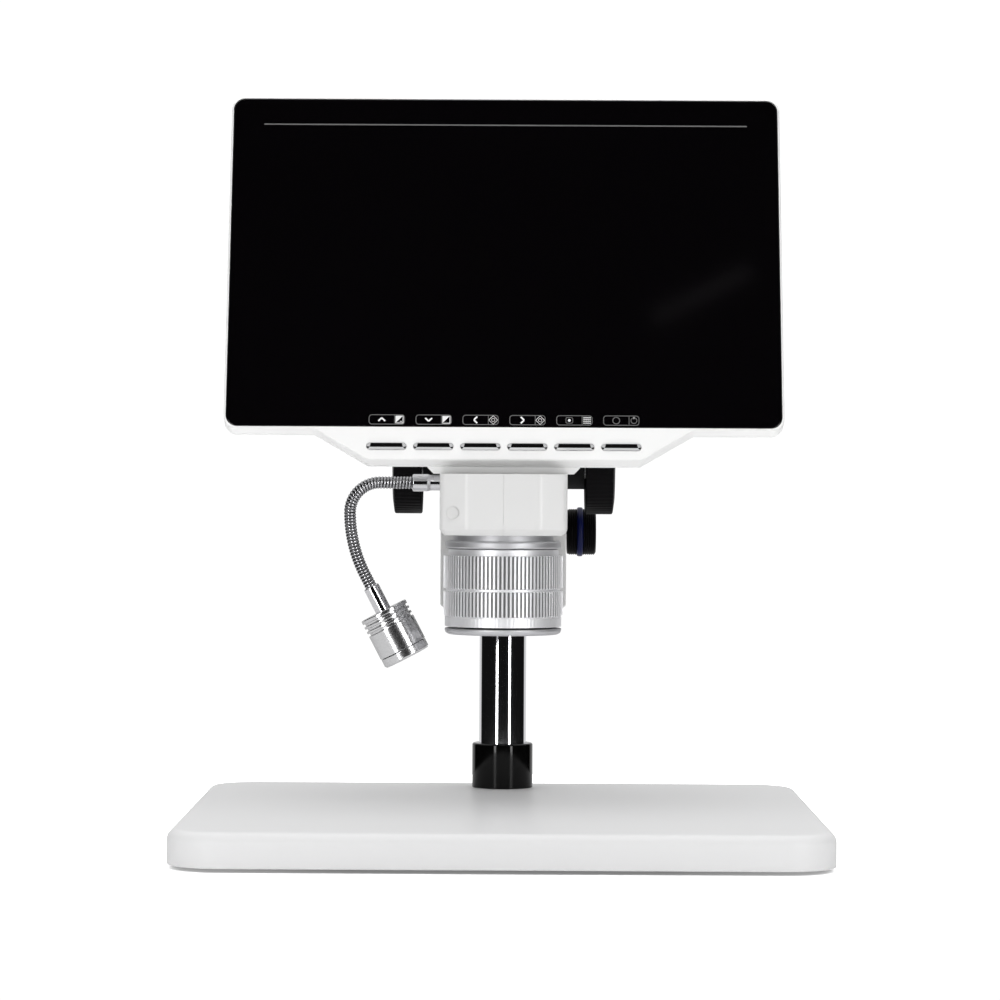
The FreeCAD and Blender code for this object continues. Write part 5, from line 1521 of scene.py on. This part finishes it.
class Studio:
    """Floor, world, lamps and camera."""

    FLOOR_RADIUS = 0.34
    CAMERA = (0.0008, -1.4735, 0.1485)
    LENS_LENGTH = 131.9
    MIDDLE = (0.0, 0.0, 0.13)
    BACKDROP = 1.05
    MIRRORED_WHITE = 0.72
    MIRRORED_DARK = 0.006
    ZENITH_LIGHT = 2.2
    HORIZON_LIGHT = 0.05

    @staticmethod
    def floor() -> None:
        """A pale floor whose glow rises away from the object, so that it fades into the backdrop."""
        mesh = bpy.data.meshes.new("studio_floor")
        a = Surfaces.around(128)
        rim = np.stack([np.cos(a), np.sin(a), np.zeros_like(a)], axis=1) * Studio.FLOOR_RADIUS
        mesh.from_pydata(rim.tolist(), [], [tuple(range(len(a)))])
        item = bpy.data.objects.new("studio_floor", mesh)
        bpy.context.scene.collection.objects.link(item)
        made = bpy.data.materials.new("studio_floor")
        made.use_nodes = True
        tree = made.node_tree
        shader = tree.nodes["Principled BSDF"]
        Finishes.set_inputs(shader, {"Roughness": 0.9, "Specular IOR Level": 0.1})
        rays = tree.nodes.new("ShaderNodeLightPath")
        mirrored = rays.outputs["Is Glossy Ray"]
        glow = Finishes.maths(tree, "MULTIPLY", Finishes.maths(tree, "SUBTRACT", 1.0, mirrored), 0.8)
        shade = Finishes.maths(tree, "SUBTRACT", 0.93, Finishes.maths(tree, "MULTIPLY", mirrored, 0.5))
        tree.links.new(glow, shader.inputs["Emission Strength"])
        tree.links.new(shade, shader.inputs["Base Color"])
        where = tree.nodes.new("ShaderNodeTexCoord")
        length = tree.nodes.new("ShaderNodeVectorMath")
        length.operation = "LENGTH"
        tree.links.new(where.outputs["Object"], length.inputs[0])
        fade = Finishes.ramp(tree, length.outputs["Value"], (0.12, 0.30), (0.22, 1.0), "LINEAR")
        tree.links.new(fade, shader.inputs["Emission Color"])
        mesh.materials.append(made)

    @staticmethod
    def world() -> None:
        """White behind, above and high at the sides, dark towards the photographer.

        Camera rays see plain white. Mirrored rays see a white that comes in with smooth steps of
        the direction: cos azimuth = -y / sqrt(1 - z z), elevation from z. Diffuse rays see a dome
        that grows brighter towards the zenith.
        """
        world = bpy.data.worlds.new("studio")
        bpy.context.scene.world = world
        world.use_nodes = True
        tree = world.node_tree
        tree.nodes.clear()
        out = tree.nodes.new("ShaderNodeOutputWorld")
        seen = tree.nodes.new("ShaderNodeBackground")
        seen.inputs["Strength"].default_value = Studio.BACKDROP
        around = tree.nodes.new("ShaderNodeBackground")
        mix = tree.nodes.new("ShaderNodeMixShader")
        rays = tree.nodes.new("ShaderNodeLightPath")
        where = tree.nodes.new("ShaderNodeTexCoord")
        split = tree.nodes.new("ShaderNodeSeparateXYZ")
        tree.links.new(where.outputs["Generated"], split.inputs[0])
        maths = Finishes.maths
        z = split.outputs["Z"]
        flat = maths(tree, "SQRT", maths(tree, "MAXIMUM", maths(
            tree, "SUBTRACT", 1.0, maths(tree, "MULTIPLY", z, z)), 1e-4))
        front = maths(tree, "DIVIDE", maths(tree, "MULTIPLY", split.outputs["Y"], -1.0), flat)
        behind = Finishes.ramp(tree, front, (-0.58, -0.72))
        sideways = Finishes.ramp(tree, front, (0.72, 0.55))
        beside = maths(tree, "MULTIPLY", sideways, Finishes.ramp(tree, z, (0.42, 0.58)))
        above = Finishes.ramp(tree, z, (0.80, 0.90))
        white = maths(tree, "MAXIMUM", maths(tree, "MAXIMUM", behind, beside), above)
        bright = maths(tree, "MULTIPLY", white, Studio.MIRRORED_WHITE)
        mirrored = maths(tree, "ADD", bright, Studio.MIRRORED_DARK)
        zenith = maths(tree, "MULTIPLY", Finishes.ramp(tree, z, (0.35, 0.75)), Studio.ZENITH_LIGHT)
        dome = maths(tree, "ADD", zenith, Studio.HORIZON_LIGHT)
        matt = rays.outputs["Is Diffuse Ray"]
        rest = maths(tree, "MULTIPLY", mirrored, maths(tree, "SUBTRACT", 1.0, matt))
        level = maths(tree, "ADD", maths(tree, "MULTIPLY", dome, matt), rest)
        tree.links.new(level, around.inputs["Strength"])
        tree.links.new(rays.outputs["Is Camera Ray"], mix.inputs["Fac"])
        tree.links.new(around.outputs[0], mix.inputs[1])
        tree.links.new(seen.outputs[0], mix.inputs[2])
        tree.links.new(mix.outputs[0], out.inputs["Surface"])
        around.inputs["Color"].default_value = (1, 1, 1, 1)
        seen.inputs["Color"].default_value = (1, 1, 1, 1)

    @staticmethod
    def lamp(name: str, place: Place, aim: Place, width: float, height: float, power: float,
             roll: float = 0.0, in_gloss: bool = True, on_matt: bool = True) -> None:
        """Add a softbox.

        Args:
            name: its name.
            place: where it stands, in metres.
            aim: the point it faces, in metres.
            width: its width in metres.
            height: its height in metres.
            power: watts.
            roll: degrees that it is turned about its own axis.
            in_gloss: whether glossy surfaces mirror it.
            on_matt: whether it also lights matt surfaces.
        """
        data = bpy.data.lights.new(name, "AREA")
        data.shape = "RECTANGLE"
        data.size = width
        data.size_y = height
        data.energy = power
        item = bpy.data.objects.new(name, data)
        bpy.context.scene.collection.objects.link(item)
        facing = (Vector(aim) - Vector(place)).to_track_quat("-Z", "Y").to_matrix().to_4x4()
        rolled = Matrix.Rotation(math.radians(roll), 4, "Z")
        item.matrix_world = Matrix.Translation(place) @ facing @ rolled
        item.visible_camera = False
        item.visible_glossy = in_gloss
        item.visible_diffuse = on_matt

    @staticmethod
    def camera() -> None:
        """The camera at the photograph's place: 1.47 m in front, looking very slightly down."""
        data = bpy.data.cameras.new("camera")
        data.sensor_width = 36.0
        data.lens = Studio.LENS_LENGTH
        item = bpy.data.objects.new("camera", data)
        bpy.context.scene.collection.objects.link(item)
        yaw, pitch, roll = math.radians(0.0875), math.radians(0.3987), math.radians(0.3)
        turn = (Matrix.Rotation(yaw, 4, "Z") @ Matrix.Rotation(math.pi / 2 - pitch, 4, "X")
                @ Matrix.Rotation(roll, 4, "Z"))
        item.matrix_world = Matrix.Translation(Studio.CAMERA) @ turn
        bpy.context.scene.camera = item

    @classmethod
    def build(cls) -> None:
        """Set up the whole studio."""
        cls.floor()
        cls.world()
        cls.lamp("front_fill", (0.0, -1.85, 0.12), cls.MIDDLE, 1.3, 0.5, 12.0, in_gloss=False)
        cls.lamp("left_strip", (-0.65, -1.13, 0.16), cls.MIDDLE, 0.2, 0.95, 5.9, on_matt=False)
        cls.lamp("right_strip", (0.77, -1.05, 0.16), cls.MIDDLE, 0.2, 0.95, 5.9, on_matt=False)
        cls.lamp("top_box", (0.0, 0.0, 1.3), cls.MIDDLE, 1.0, 1.0, 2.5, in_gloss=False)
        cls.lamp("faint_card", (0.197, -1.77, 1.53), (0.08, 0.0, 0.24), 0.015, 0.11, 0.0006, roll=-65.0)
        bpy.context.scene.view_settings.view_transform = "Standard"


def main() -> None:
    """Build every class in order and log each piece."""
    logging.basicConfig(level=logging.INFO, format="%(name)s %(message)s")
    Studio.camera()
    finishes = Finishes()
    bench = Bench(finishes)
    Stand().build(bench)
    bench.softened("slide_arm", "arm_block", 0.8, ARM_BLACK, "arm", "arm_black")
    knobs = Knobs()
    knobs.focus(bench)
    knobs.clamp(bench)
    Housing().build(bench)
    Lens().build(bench)
    NeckLamp().build(bench)
    Screen().build(bench)
    Signs().build(bench)
    CarriedNodes.dress(finishes)
    Studio.build()
    LOG.info("%d new pieces", bench.count)


if __name__ == "__main__":
    main()
